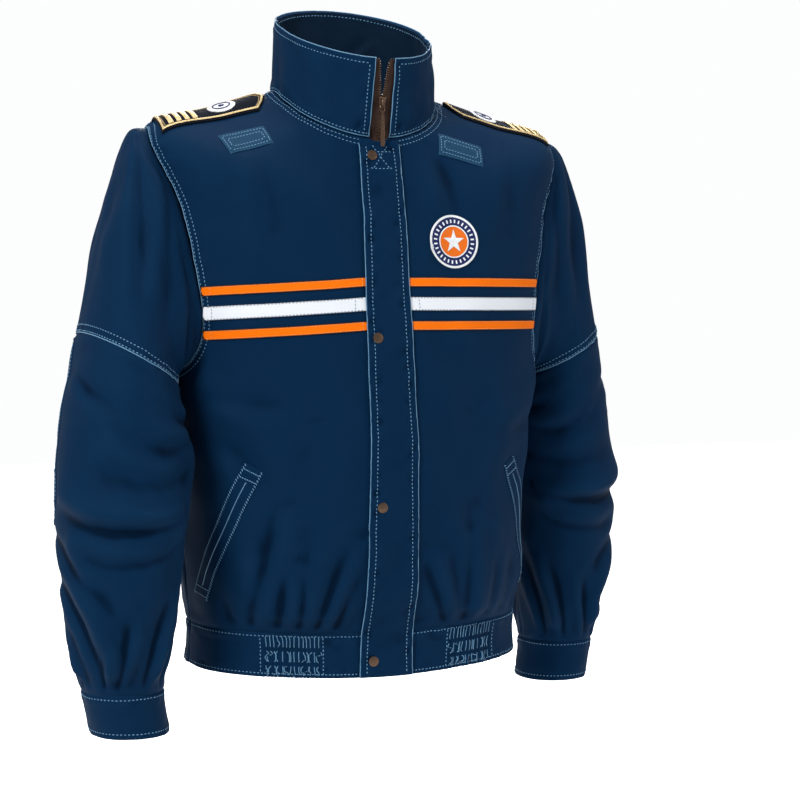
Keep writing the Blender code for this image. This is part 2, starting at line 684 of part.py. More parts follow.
def snap(name, point, facing):
    """A press stud's cap, a low turned disc standing off the cloth."""
    cap = bmesh.new()
    bmesh.ops.create_cone(
        cap, cap_ends=True, segments=12, radius1=SNAP_RADIUS, radius2=SNAP_TOP_RADIUS, depth=SNAP_HEIGHT
    )
    turned = Vector((0, 0, 1)).rotation_difference(Vector(facing)).to_matrix().to_4x4()
    bmesh.ops.transform(cap, matrix=turned, verts=cap.verts)
    lifted = point + np.asarray(facing) * SNAP_HEIGHT / 2
    bmesh.ops.translate(cap, vec=Vector(lifted), verts=cap.verts)
    return place(name, cap, "bronze")


def turn_at_x(x, level, back=False):
    """The turn at which a ring passes an x, in front or behind."""
    low = np.zeros(np.broadcast(x, level).shape)
    high = low + pi / 2
    for _ in range(40):
        middle = (low + high) / 2
        short = body_base(middle if not back else pi - middle, level)[..., 0] < np.abs(x)
        low, high = np.where(short, middle, low), np.where(short, high, middle)
    turn = (low + high) / 2
    return np.sign(x) * (pi - turn if back else turn)


def gathered(x_edges):
    """Columns through a shirred stretch, alternately on a gather and between two, and their heights."""
    columns = np.linspace(*x_edges, 2 * GATHERS + 1)
    raised = GATHER_HEIGHT * (np.arange(len(columns)) % 2)
    return columns, raised


def hem_pieces():
    """The hem band in three lengths, each gathered on elastic where the cloth above blouses."""
    rows = np.array([0, 0.32, 0.66, HEM_SEAM - HEM_SEAM_GAP])[:, None]
    for side_name, side in (("right", -1), ("left", 1)):
        ribs, raised = gathered(SHIRRING["front"])
        before = np.linspace(FRONT_EDGE, ribs[0], 5)[:-1]
        turns = np.concatenate([turn_at_x(before, 0.5), turn_at_x(ribs, 0.5)])
        side_edge = seam_shift(pi / 2, 0.5, -SEAM_GAP / 2)
        turns = np.concatenate([turns, np.linspace(turns[-1], side_edge, 7)[1:]])
        lift = np.zeros(len(turns))
        lift[len(before) : len(before) + len(ribs)] = raised
        outer = body(side * turns, rows, lift + 0 * rows)
        wall("hem_front_" + side_name, outer, body(side * turns, rows, -CLOTH), "navy")
    ribs, raised = gathered(SHIRRING["back"])
    ribs, raised = turn_at_x(ribs[::-1], 0.5, back=True), raised[::-1]
    side_edge = seam_shift(pi / 2, 0.5, SEAM_GAP / 2)
    plain_side = np.linspace(side_edge, ribs[0], 5)[:-1]
    plain_middle = np.linspace(ribs[-1], pi, 6)[1:-1]
    half = np.concatenate([plain_side, ribs, plain_middle])
    lift = np.zeros(len(half))
    lift[4 : 4 + len(ribs)] = raised
    turns = np.concatenate([half, [pi], 2 * pi - half[::-1]])
    lift = np.concatenate([lift, [0], lift[::-1]])
    wall("hem_back", body(turns, rows, lift + 0 * rows), body(turns, rows, -CLOTH), "navy")


def collar_base(turn, rise):
    """The collar's outer face, from the neck seam at rise 0 to its top edge at rise 1."""
    turn, rise = np.broadcast_arrays(np.asarray(turn, float), np.asarray(rise, float))
    low = body_base(turn, NECK + 0 * turn)
    depth = np.where(np.cos(turn) > 0, COLLAR_TOP_FRONT, COLLAR_TOP_BACK)
    across = np.abs(np.sin(turn) / COLLAR_TOP_WIDTH) ** 2
    reach = (across + np.abs(np.cos(turn) / depth) ** 2) ** -0.5
    x, y = reach * np.sin(turn), -reach * np.cos(turn)
    high = np.stack([x, y, COLLAR_TOP_Z + COLLAR_TOP_SLOPE * y], axis=-1)
    return low + (high - low) * rise[..., None]


def collar(turn, rise, lift=0.0):
    turn, rise = np.broadcast_arrays(np.asarray(turn, float), np.asarray(rise, float))
    point = collar_base(turn, rise)
    normal = normal_of(collar_base, turn, np.clip(rise, 0, 1), point * [0.5, 0.5, 1])
    return point + np.broadcast_to(lift, turn.shape)[..., None] * normal


def collar_piece():
    rises = np.array([COLLAR_SEAM_RISE, 0.3, 0.65, 1])[:, None]
    depth = TORSO[NECK].front_depth + (COLLAR_TOP_FRONT - TORSO[NECK].front_depth) * rises
    start = COLLAR_OPENING / depth
    turns = start + (2 * pi - 2 * start) * np.linspace(0, 1, 29)
    rises = rises + 0 * turns
    wall("collar", collar(turns, rises), collar(turns, rises, -COLLAR_CLOTH), "navy")


def flap_piece():
    """The storm flap over the zip, its studs near the free edge."""
    levels = np.concatenate([[0.02, 0.33, 0.66, HEM_SEAM], panel_levels()[1:-1], [NECK - 0.08]])[:, None]
    z = between(column(TORSO, "front_z"), levels)
    down = np.array(column(FLAP, "z"))[::-1]
    right = np.interp(z, down, column(FLAP, "right_x")[::-1])
    left = np.interp(z, down, column(FLAP, "left_x")[::-1])
    turns = turn_at_x(right + (left - right) * np.linspace(0, 1, 4), levels)
    level_grid = levels + 0 * turns
    wall("flap", body(turns, level_grid, LAY_GAP + FLAP_CLOTH), body(turns, level_grid, LAY_GAP), "navy")
    for number, (x, z) in enumerate(FLAP_SNAPS):
        turn, level = on_front((x, z))
        point = body(turn, level, LAY_GAP + FLAP_CLOTH + SNAP_SEAT)
        snap("snap_flap_{}".format(number + 1), point, body_normal(turn, level))


def zip_tapes():
    """The two tapes of the zip, behind the front edges and up the collar's opening."""
    levels = np.concatenate([[0.05, 0.5, HEM_SEAM], panel_levels()[1:-1], [NECK - 0.1]])[:, None]
    rises = np.array([0.06, 0.25, SLIDER_RISE, 0.75, 0.985])[:, None]
    back_of = CLOTH + LAY_GAP
    parted = np.interp(rises, [SLIDER_RISE, 1], [ZIP_MIDDLE_GAP / 2, ZIP_PARTED])
    depth = TORSO[NECK].front_depth + (COLLAR_TOP_FRONT - TORSO[NECK].front_depth) * rises
    for side_name, side in (("right", -1), ("left", 1)):
        across = np.linspace(0, 1, 3)
        body_x = ZIP_MIDDLE_GAP / 2 + (ZIP_TAPE_WIDTH - ZIP_MIDDLE_GAP / 2) * across
        turns = side * turn_at_x(body_x + 0 * levels, levels)
        collar_x = parted + (ZIP_TAPE_WIDTH - ZIP_MIDDLE_GAP / 2) * across
        neck_turns = side * collar_x / depth
        layers = []
        for thickness in (0, TAPE_CLOTH):
            bend = np.where(levels > NECK - 0.3, ZIP_TAPE_BEND, 0) + 0 * turns
            lower = body(turns, levels + 0 * turns, -back_of - bend - thickness)
            bend = np.where(rises < 0.1, ZIP_TAPE_BEND, ZIP_TAPE_COLLAR_BEND) + 0 * neck_turns
            deeper = COLLAR_CLOTH + LAY_GAP + bend
            higher = collar(neck_turns, rises + 0 * neck_turns, -deeper - thickness)
            layers.append(np.concatenate([lower, higher]))
        wall("zip_tape_" + side_name, layers[0], layers[1], "zip_tape")


def box_at(cage, size, middle):
    """A box added to a bmesh."""
    made = bmesh.ops.create_cube(cage, size=1)["verts"]
    bmesh.ops.scale(cage, vec=Vector(size), verts=made)
    bmesh.ops.translate(cage, vec=Vector(middle), verts=made)


def cut(solid, cutter_box, cutter_middle):
    """Cuts a box out of an object with a Boolean modifier."""
    shape = bmesh.new()
    box_at(shape, cutter_box, cutter_middle)
    mesh = bpy.data.meshes.new("cutter")
    shape.to_mesh(mesh)
    shape.free()
    cutter = bpy.data.objects.new("cutter", mesh)
    bpy.data.collections["cutters"].objects.link(cutter)
    cutter.matrix_world = solid.matrix_world
    cutter.hide_render = True
    cutter.display_type = "WIRE"
    boolean = solid.modifiers.new("window", "BOOLEAN")
    boolean.object = cutter
    boolean.operation = "DIFFERENCE"


def slider_frame():
    """Where the slider stands on the tapes: its point, its forward way and its upward way."""
    tape_face = COLLAR_CLOTH + LAY_GAP + ZIP_TAPE_COLLAR_BEND
    point = collar(np.array(0.0), np.array(SLIDER_RISE), SLIDER_GAP - tape_face)
    up = unit(collar_base(np.array(0.0), np.array(1.0)) - collar_base(np.array(0.0), np.array(0.0)))
    forward = np.cross(up, [1, 0, 0])
    return point, forward if forward[1] < 0 else -forward, up


def slider():
    """The slider, a block with a bridge before it, and the pull that hangs from the bridge."""
    point, forward, up = slider_frame()
    width, depth, height = SLIDER_SIZE
    stand = Matrix((Vector((1, 0, 0)), Vector(-forward), Vector(up))).transposed().to_4x4()
    stand.translation = Vector(point)
    block = bmesh.new()
    front_y = -depth - BRIDGE_ROOM - BRIDGE_THICKNESS
    box_at(block, (width, depth, height), (0, -depth / 2, 0))
    slider_block = place("zip_slider", block, "bronze")
    bridge = bmesh.new()
    tall = -front_y - depth + BRIDGE_SUNK
    box_at(bridge, (BRIDGE_WIDTH, tall, BRIDGE_LENGTH), (0, -depth + BRIDGE_SUNK - tall / 2, 0))
    mesh = bpy.data.meshes.new("bridge")
    bridge.to_mesh(mesh)
    bridge.free()
    helper = bpy.data.objects.new("bridge", mesh)
    bpy.data.collections["cutters"].objects.link(helper)
    helper.hide_render = True
    helper.display_type = "WIRE"
    slider_block.matrix_world = stand
    helper.matrix_world = stand
    joined = slider_block.modifiers.new("bridge", "BOOLEAN")
    joined.object = helper
    joined.operation = "UNION"
    room = BRIDGE_LENGTH - 2 * BRIDGE_THICKNESS
    cut(slider_block, (BRIDGE_WIDTH * 2, BRIDGE_ROOM, room), (0, -depth - BRIDGE_ROOM / 2, 0))
    bar = stand @ Vector((0, -depth - BRIDGE_ROOM / 2, -room / 2 + PULL_BAR))
    pull = bmesh.new()
    box_at(pull, (PULL_WIDTH, PULL_BAR, PULL_LENGTH), (0, 0, PULL_BAR / 2 - PULL_LENGTH / 2))
    pull_plate = place("zip_pull", pull, "bronze")
    pull_plate.location = bar
    bpy.context.view_layer.update()
    window = (BRIDGE_WIDTH + PULL_PLAY, PULL_BAR * 2, PULL_WINDOW)
    cut(pull_plate, window, (0, 0, -PULL_BAR / 2 - PULL_WINDOW / 2))


def tapes():
    for tape in TAPES:
        half = tape.width / 2
        for side_name, side in (("right", -1), ("left", 1)):
            middle = FRONT_TAPE_Z + tape.offset
            inner_x = side * (FLAP[1].left_x if side > 0 else FLAP[1].right_x) + 0.002
            share = np.linspace(0, 1, 14)
            level = level_at(pi / 2, middle)
            outer_turn = arm_turn_at(level) - TAPE_END_TURN
            start = turn_at_x(inner_x, level)
            turns = start + (outer_turn - start) * share
            drop = RIGHT_TAPE_DROP * share if side < 0 else 0 * share
            z = middle - drop + np.array([[-half], [half]])
            levels = level_at(turns, z)
            name = "tape_{}_front_{}".format(tape.name, side_name)
            patch(name, side * turns + 0 * levels, levels, TAPE_CLOTH, tape.colour)
        side_gap = seam_shift(0, UNDERARM - 1, SEAM_GAP / 2)
        turns = pi / 2 + side_gap + (pi - 2 * side_gap) * BACK_SHARES
        sag = BACK_TAPE_SAG * np.sin(turns - pi / 2) ** 2
        z = BACK_TAPE_Z + tape.offset * BACK_TAPE_SPREAD - sag + np.array([[-half], [half]])
        levels = level_at(turns, z)
        name = "tape_{}_back".format(tape.name)
        patch(name, turns + 0 * levels, levels, TAPE_CLOTH, tape.colour, BACK_TAPE_GAP)


def arm_turn_at(level):
    """The turn of the armhole's front edge at a level."""
    rounds = armhole_rounds()[: ARMHOLE_POINTS // 2 + 1]
    turns, levels = armhole(1, rounds)
    return np.interp(level, levels, turns)


def quad_grid(corners, across, along):
    """A grid of points over a four-cornered outline."""
    start_a, start_b, end_b, end_a = (np.asarray(corner, float) for corner in corners)
    share_across = np.linspace(0, 1, across + 1)[None, :, None]
    share_along = np.linspace(0, 1, along + 1)[:, None, None]
    start = start_a + (start_b - start_a) * share_across
    end = end_a + (end_b - end_a) * share_across
    return start + (end - start) * share_along


def disc_grid(middle, radius, cells):
    """A square grid drawn out to fill a disc."""
    line = np.linspace(-1, 1, cells + 1)
    a, b = np.meshgrid(line, line)
    x = a * np.sqrt(1 - b * b / 2)
    y = b * np.sqrt(1 - a * a / 2)
    return np.stack([middle[0] + radius * x, middle[1] + radius * y], axis=-1)


def front_details():
    for side_name, side in (("right", -1), ("left", 1)):
        pocket = quad_grid([(radians(turn), z) for turn, z in POCKET_CORNERS], 2, 9)
        turn, level = pocket[..., 0], level_at(pocket[..., 0], pocket[..., 1])
        patch("pocket_" + side_name, side * turn, level, POCKET_CLOTH, "navy", POCKET_GAP)
        loop = on_front(quad_grid(LOOP_CORNERS[side_name], 5, 3))
        patch("radio_loop_" + side_name, *loop, LOOP_CLOTH, "navy_light")
    patch("chest_badge", *on_front(disc_grid(BADGE_MIDDLE, BADGE_RADIUS, 6)), BADGE_THICKNESS, "blue")
    rounds = np.radians(90 + np.array([-13, -6, 0, 6, 13]))
    stations = np.linspace(*SLEEVE_BADGE_STATIONS, 5)[:, None]
    outer = sleeve(1, rounds, stations, SLEEVE_BADGE_GAP + BADGE_THICKNESS)
    wall("sleeve_badge", outer, sleeve(1, rounds, stations, SLEEVE_BADGE_GAP), "navy")


def board_point(along, across, side):
    """A place on a shoulder board as x and y: along from its outer end, across from its middle."""
    return np.stack([side * (BOARD_OUTER_X - along), BOARD_MIDDLE_Y - across], axis=-1)


def board_layer(name, along, across, side, low, high, colour, closed=False):
    turn, level = on_shoulder(board_point(along, across, side), side)
    wall(name, body(turn, level, high), body(turn, level, low), colour, closed)


def board_outline(inset, points_along):
    """Points round a board's edge, from the outer end round the pointed neck end and back."""
    half = BOARD_WIDTH / 2 - inset
    shoulder = BOARD_LENGTH - BOARD_POINT - inset * 0.5
    run = np.linspace(inset, shoulder, points_along)
    tip = BOARD_LENGTH - inset * 1.3
    half_way = (shoulder + tip) / 2
    along = np.concatenate([run, [half_way, tip, half_way], run[::-1], [inset, inset, inset]])
    edge = np.full(points_along, half)
    ends = np.array([half / 2, 0, -half / 2])
    across = np.concatenate([edge, ends, -edge, [-half / 2, 0, half / 2]])
    return along, across


def shoulder_boards():
    """Boards over the shoulders, with a braid border, four bars and a disc."""
    for side_name, side in (("right", -1), ("left", 1)):
        across = np.linspace(-1, 1, 9) * BOARD_WIDTH / 2
        reach = BOARD_LENGTH - BOARD_POINT * np.abs(across) / (BOARD_WIDTH / 2)
        along = np.linspace(0, 1, 9)[:, None] * reach
        base = LAY_GAP
        top = base + BOARD_CLOTH
        board_layer("shoulder_board_" + side_name, along, across + 0 * along, side, base, top, "board")
        rings = [board_outline(inset, 7) for inset in (BRAID_INSET, BRAID_INSET + BRAID_WIDTH)]
        along, across = (np.array([ring[k] for ring in rings]) for k in (0, 1))
        low = top + BRAID_GAP
        high = low + BRAID_THICKNESS
        board_layer("board_braid_" + side_name, along, across, side, low, high, "gold", closed=True)
        for number in range(BARS):
            start = BAR_START + number * BAR_PITCH
            along, across = np.meshgrid([start, start + BAR_WIDTH], np.linspace(-1, 1, 7) * BAR_REACH)
            name = "board_bar_{}_{}".format(side_name, number + 1)
            board_layer(name, along, across, side, low, high, "gold")
        disc = disc_grid((DISC_ALONG, 0), DISC_RADIUS, 4)
        board_layer("board_disc_" + side_name, disc[..., 0], disc[..., 1], side, low, high, "white")


def main():
    clear_scene()
    for name in ("jacket", "cutters"):
        group = bpy.data.collections.new(name)
        bpy.context.scene.collection.children.link(group)
    for side_name, side in (("right", -1), ("left", 1)):
        front_panel(side_name, side)
        sleeve_pieces(side_name, side)
    back_pieces()
    hem_pieces()
    collar_piece()
    flap_piece()
    zip_tapes()
    slider()
    tapes()
    front_details()
    shoulder_boards()


main()
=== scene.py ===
"""Looks of the softshell jacket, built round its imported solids.

Metres, in the row frame: front -Y, wearer's left +X, up +Z. The cloth's surfaces are worked out from
the garment's own sizes, at a finer cell than the solids, with creases, seams and stitches added.
"""

from collections import namedtuple
from math import cos, pi, radians, sin, tau

import bmesh
import bpy
import numpy as np
from mathutils import Matrix, Vector
from mathutils.bvhtree import BVHTree


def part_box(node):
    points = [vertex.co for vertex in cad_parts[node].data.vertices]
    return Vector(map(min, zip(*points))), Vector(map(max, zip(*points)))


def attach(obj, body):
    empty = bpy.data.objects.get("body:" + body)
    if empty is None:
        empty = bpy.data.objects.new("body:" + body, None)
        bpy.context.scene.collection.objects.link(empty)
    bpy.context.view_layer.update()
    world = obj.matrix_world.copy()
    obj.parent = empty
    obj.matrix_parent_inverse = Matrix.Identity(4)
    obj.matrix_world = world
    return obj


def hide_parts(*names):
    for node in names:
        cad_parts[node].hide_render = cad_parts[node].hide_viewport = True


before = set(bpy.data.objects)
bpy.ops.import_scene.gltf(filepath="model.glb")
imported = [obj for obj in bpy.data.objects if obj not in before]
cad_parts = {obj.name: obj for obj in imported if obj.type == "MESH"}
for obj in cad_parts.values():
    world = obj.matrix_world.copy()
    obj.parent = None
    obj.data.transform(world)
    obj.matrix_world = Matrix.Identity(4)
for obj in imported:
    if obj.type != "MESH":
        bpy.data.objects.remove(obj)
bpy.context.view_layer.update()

# Cell of the cloth's meshes, and the cloths' thicknesses
CELL = 0.0036
CLOTH = 0.0020
COLLAR_CLOTH = 0.0030
FLAP_CLOTH = 0.0024
TAPE_CLOTH = 0.0009
LAY = 0.0007

# Body rings from the hem up
Ring = namedtuple("Ring", "name front_z side_z back_z half_width front_depth back_depth")
TORSO = (
    Ring("hem edge", -0.618, -0.609, -0.620, 0.185, 0.108, 0.106),
    Ring("hem seam", -0.571, -0.564, -0.573, 0.183, 0.111, 0.108),
    Ring("blouse", -0.524, -0.522, -0.525, 0.188, 0.126, 0.115),
    Ring("waist", -0.446, -0.446, -0.446, 0.190, 0.131, 0.118),
    Ring("ribs", -0.370, -0.372, -0.372, 0.197, 0.132, 0.124),
    Ring("underarm", -0.300, -0.298, -0.300, 0.204, 0.130, 0.129),
    Ring("chest", -0.250, -0.200, -0.228, 0.213, 0.128, 0.132),
    Ring("blades", -0.203, -0.112, -0.168, 0.222, 0.122, 0.132),
    Ring("shoulder tip", -0.156, -0.045, -0.112, 0.228, 0.114, 0.122),
    Ring("shoulder", -0.104, -0.023, -0.047, 0.158, 0.100, 0.100),
    Ring("neck seam", -0.056, -0.002, 0.012, 0.0875, 0.086, 0.070),
)
HEM_SEAM, UNDERARM, SHOULDER_TIP, NECK = 1, 5, 8, 10
BODY_SQUARENESS = 2.35
RIDGE_ROUNDNESS = 1.25
ARMHOLE_TURN = radians(18)
ARMHOLE_SCOOP = 0.5
ARMHOLE_SQUARENESS = 2.5
SHOULDER_SEAM_BACK = radians(24)
SHOULDER_STRIP = 0.013
FRONT_EDGE = 0.0075

Station = namedtuple("Station", "name outer_x outer_z inner_x inner_z half_depth right_sway left_sway")
SLEEVE = (
    Station("armhole", 0.228, -0.045, 0.2050, -0.298, 0.066, 0.000, 0.000),
    Station("cap", 0.247, -0.052, 0.2065, -0.300, 0.073, -0.003, 0.010),
    Station("upper arm", 0.266, -0.105, 0.2075, -0.303, 0.079, -0.009, 0.026),
    Station("biceps", 0.285, -0.175, 0.2085, -0.307, 0.083, -0.019, 0.038),
    Station("arm seam", 0.306, -0.258, 0.2090, -0.312, 0.084, -0.034, 0.047),
    Station("above elbow", 0.318, -0.302, 0.2045, -0.347, 0.083, -0.046, 0.052),
    Station("elbow", 0.330, -0.355, 0.1975, -0.382, 0.081, -0.057, 0.055),
    Station("below elbow", 0.3365, -0.420, 0.2040, -0.430, 0.078, -0.067, 0.058),
    Station("forearm", 0.3365, -0.470, 0.2120, -0.475, 0.074, -0.071, 0.059),
    Station("blouse top", 0.3300, -0.521, 0.2180, -0.520, 0.068, -0.073, 0.058),
    Station("blouse", 0.3220, -0.571, 0.2260, -0.570, 0.059, -0.072, 0.056),
    Station("cuff seam", 0.3145, -0.617, 0.2315, -0.617, 0.046, -0.070, 0.053),
    Station("cuff edge", 0.3055, -0.662, 0.2255, -0.662, 0.044, -0.068, 0.050),
)
ARM_SEAM, CUFF_SEAM, CUFF_EDGE = 4, 11, 12
SLEEVE_SQUARENESS = 2.15
ELBOW_PATCH_END = 7.6
ELBOW_PATCH_TURNS = (99, 261)
CUFF_START = 162
CUFF_LAP = 27

# Large folds, as in the solids
Fold = namedtuple("Fold", "place x_low z_low x_high z_high width depth")
BODY_FOLDS = (
    Fold("front", -0.120, -0.574, -0.146, -0.500, 0.015, 0.008),
    Fold("front", -0.098, -0.574, -0.112, -0.455, 0.015, 0.010),
    Fold("front", -0.076, -0.574, -0.078, -0.490, 0.013, 0.007),
    Fold("front", -0.064, -0.574, -0.052, -0.460, 0.013, 0.004),
    Fold("front", 0.067, -0.574, 0.055, -0.500, 0.012, 0.005),
    Fold("front", 0.086, -0.574, 0.090, -0.480, 0.014, 0.009),
    Fold("front", 0.106, -0.574, 0.124, -0.470, 0.015, 0.009),
    Fold("front", 0.130, -0.574, 0.152, -0.530, 0.013, 0.006),
    Fold("front", -0.186, -0.315, -0.122, -0.372, 0.020, 0.005),
    Fold("front", 0.186, -0.315, 0.126, -0.376, 0.020, 0.005),
    Fold("back", -0.158, -0.574, -0.172, -0.510, 0.014, 0.007),
    Fold("back", -0.134, -0.574, -0.138, -0.460, 0.016, 0.010),
    Fold("back", -0.108, -0.574, -0.088, -0.500, 0.014, 0.007),
    Fold("back", 0.106, -0.574, 0.084, -0.490, 0.014, 0.008),
    Fold("back", 0.134, -0.574, 0.142, -0.450, 0.016, 0.010),
    Fold("back", 0.158, -0.574, 0.174, -0.520, 0.013, 0.006),
    Fold("back", -0.150, -0.180, -0.085, -0.262, 0.024, 0.005),
    Fold("back", 0.150, -0.180, 0.095, -0.268, 0.024, 0.005),
)
SleeveFold = namedtuple("SleeveFold", "round_a station_a round_b station_b width depth")
SLEEVE_FOLDS = (
    SleeveFold(-35, 7.4, 75, 6.9, 0.018, 0.008),
    SleeveFold(-50, 6.3, 60, 5.5, 0.018, -0.005),
    SleeveFold(25, 10.3, 62, 8.0, 0.018, 0.009),
    SleeveFold(-30, 10.4, -55, 8.6, 0.016, 0.006),
    SleeveFold(130, 6.6, 225, 7.2, 0.018, 0.006),
    SleeveFold(125, 10.2, 160, 8.1, 0.018, 0.008),
    SleeveFold(215, 10.2, 240, 8.4, 0.016, 0.006),
    SleeveFold(80, 10.4, 100, 9.0, 0.016, 0.006),
    SleeveFold(70, 2.8, 20, 1.2, 0.022, 0.005),
    SleeveFold(120, 2.9, 165, 1.5, 0.022, 0.005),
)
ROUND_LENGTH = 0.080
STATION_LENGTH = 0.050

# Creases: a bent line through three places, each a soft ridge with a trough on its lee side.
# On the body the places are x and z, on a sleeve degrees round and station.
Crease = namedtuple("Crease", "a b c d e f width height")
FRONT_CREASES = (
    Crease(-0.170, -0.568, -0.176, -0.520, -0.168, -0.470, 0.010, 0.0035),
    Crease(-0.143, -0.568, -0.160, -0.532, -0.163, -0.505, 0.007, 0.0025),
    Crease(-0.132, -0.570, -0.130, -0.520, -0.108, -0.447, 0.008, 0.0034),
    Crease(-0.109, -0.570, -0.105, -0.540, -0.100, -0.500, 0.006, 0.0026),
    Crease(-0.088, -0.571, -0.086, -0.530, -0.088, -0.500, 0.006, 0.0028),
    Crease(-0.070, -0.570, -0.060, -0.530, -0.036, -0.480, 0.008, 0.0040),
    Crease(-0.054, -0.571, -0.046, -0.550, -0.040, -0.525, 0.006, 0.0018),
    Crease(0.074, -0.571, 0.066, -0.530, 0.046, -0.490, 0.008, 0.0034),
    Crease(0.096, -0.571, 0.099, -0.520, 0.104, -0.452, 0.008, 0.0036),
    Crease(0.118, -0.570, 0.136, -0.525, 0.140, -0.480, 0.008, 0.0030),
    Crease(0.142, -0.569, 0.160, -0.540, 0.170, -0.505, 0.008, 0.0026),
    Crease(-0.194, -0.330, -0.150, -0.352, -0.105, -0.350, 0.012, 0.0026),
    Crease(-0.192, -0.372, -0.160, -0.400, -0.150, -0.445, 0.014, 0.0040),
    Crease(0.194, -0.335, 0.150, -0.352, 0.110, -0.342, 0.012, 0.0026),
    Crease(0.190, -0.380, 0.162, -0.410, 0.158, -0.455, 0.013, 0.0034),
    Crease(-0.150, -0.080, -0.140, -0.130, -0.150, -0.190, 0.016, 0.0022),
    Crease(0.052, -0.075, 0.058, -0.115, 0.050, -0.150, 0.014, 0.0030),
    Crease(0.140, -0.075, 0.120, -0.120, 0.118, -0.170, 0.015, 0.0022),
    Crease(-0.050, -0.075, -0.060, -0.130, -0.054, -0.190, 0.018, 0.0018),
    Crease(-0.120, -0.260, -0.085, -0.330, -0.095, -0.420, 0.026, -0.0020),
    Crease(0.105, -0.270, 0.078, -0.340, 0.090, -0.430, 0.026, -0.0020),
    Crease(0.176, -0.568, 0.178, -0.530, 0.172, -0.490, 0.010, 0.0030),
)
BACK_CREASES = (
    Crease(-0.172, -0.568, -0.176, -0.520, -0.166, -0.468, 0.010, 0.0030),
    Crease(-0.146, -0.570, -0.152, -0.520, -0.128, -0.452, 0.008, 0.0034),
    Crease(-0.122, -0.571, -0.118, -0.535, -0.120, -0.490, 0.007, 0.0030),
    Crease(-0.104, -0.571, -0.090, -0.530, -0.062, -0.478, 0.009, 0.0038),
    Crease(-0.080, -0.571, -0.060, -0.545, -0.036, -0.520, 0.007, 0.0018),
    Crease(0.084, -0.571, 0.066, -0.545, 0.040, -0.525, 0.007, 0.0016),
    Crease(0.104, -0.571, 0.094, -0.530, 0.070, -0.488, 0.009, 0.0036),
    Crease(0.121, -0.571, 0.116, -0.530, 0.122, -0.490, 0.007, 0.0030),
    Crease(0.146, -0.570, 0.152, -0.525, 0.126, -0.446, 0.008, 0.0034),
    Crease(0.172, -0.568, 0.178, -0.525, 0.168, -0.470, 0.010, 0.0030),
    Crease(-0.182, -0.330, -0.140, -0.300, -0.085, -0.292, 0.013, 0.0026),
    Crease(0.182, -0.330, 0.140, -0.302, 0.090, -0.296, 0.013, 0.0026),
    Crease(-0.188, -0.372, -0.165, -0.410, -0.162, -0.450, 0.013, 0.0034),
    Crease(0.188, -0.372, 0.165, -0.412, 0.160, -0.452, 0.013, 0.0034),
)
SLEEVE_CREASES = (
    Crease(-40, 7.05, 20, 7.55, 80, 6.85, 0.010, 0.0042),
    Crease(-30, 7.85, 15, 8.15, 60, 7.70, 0.010, 0.0024),
    Crease(-55, 6.20, -5, 6.45, 40, 6.05, 0.012, 0.0026),
    Crease(-60, 5.30, -30, 5.70, 5, 5.65, 0.011, 0.0022),
    Crease(85, 5.10, 60, 5.55, 20, 5.75, 0.011, 0.0026),
    Crease(110, 8.00, 60, 8.70, 30, 9.60, 0.011, 0.0042),
    Crease(100, 8.90, 70, 9.50, 48, 10.70, 0.009, 0.0036),
    Crease(12, 10.80, 2, 10.10, -4, 9.40, 0.008, 0.0030),
    Crease(-22, 10.80, -30, 10.00, -48, 9.10, 0.009, 0.0034),
    Crease(-52, 10.75, -62, 10.00, -80, 9.00, 0.010, 0.0032),
    Crease(32, 10.85, 30, 10.35, 24, 9.90, 0.007, 0.0022),
    Crease(70, 10.80, 84, 10.20, 96, 9.60, 0.009, 0.0032),
    Crease(100, 10.80, 112, 10.20, 120, 9.20, 0.009, 0.0032),
    Crease(136, 10.85, 150, 9.90, 172, 9.00, 0.010, 0.0036),
    Crease(168, 10.80, 180, 10.10, 190, 9.40, 0.009, 0.0030),
    Crease(196, 10.85, 214, 10.00, 236, 9.30, 0.010, 0.0034),
    Crease(232, 10.80, 246, 10.10, 262, 9.10, 0.010, 0.0032),
    Crease(120, 6.20, 175, 6.60, 232, 6.15, 0.012, 0.0030),
    Crease(115, 7.20, 180, 7.75, 240, 7.30, 0.011, 0.0034),
    Crease(130, 8.30, 190, 8.60, 236, 8.05, 0.011, 0.0030),
    Crease(125, 5.20, 170, 5.55, 215, 5.25, 0.012, 0.0020),
    Crease(62, 1.10, 40, 2.20, 36, 3.40, 0.014, 0.0034),
    Crease(30, 0.70, 10, 1.90, 5, 3.00, 0.012, 0.0024),
    Crease(-10, 1.20, -30, 2.20, -60, 3.00, 0.012, 0.0028),
    Crease(-42, 1.00, -58, 2.00, -80, 2.70, 0.010, 0.0026),
    Crease(118, 1.00, 142, 2.20, 148, 3.40, 0.014, 0.0034),
    Crease(160, 0.80, 178, 1.90, 182, 3.10, 0.012, 0.0026),
    Crease(200, 1.10, 222, 2.20, 250, 3.00, 0.012, 0.0028),
    Crease(88, 3.30, 70, 2.60, 76, 1.90, 0.014, -0.0018),
    Crease(-88, 5.00, -60, 4.70, -30, 4.75, 0.010, 0.0026),
    Crease(262, 5.10, 236, 4.75, 210, 4.72, 0.010, 0.0026),
)
COLLAR_CREASES = (
    Crease(140, 0.62, 152, 0.40, 167, 0.14, 0.009, -0.0017),
    Crease(222, 0.60, 209, 0.42, 194, 0.15, 0.009, -0.0016),
    Crease(60, 0.15, 66, 0.45, 60, 0.80, 0.016, 0.0016),
    Crease(-75, 0.10, -66, 0.40, -74, 0.75, 0.016, 0.0016),
    Crease(32, 0.12, 30, 0.35, 36, 0.62, 0.013, -0.0012),
    Crease(-30, 0.12, -34, 0.40, -30, 0.70, 0.013, -0.0012),
)

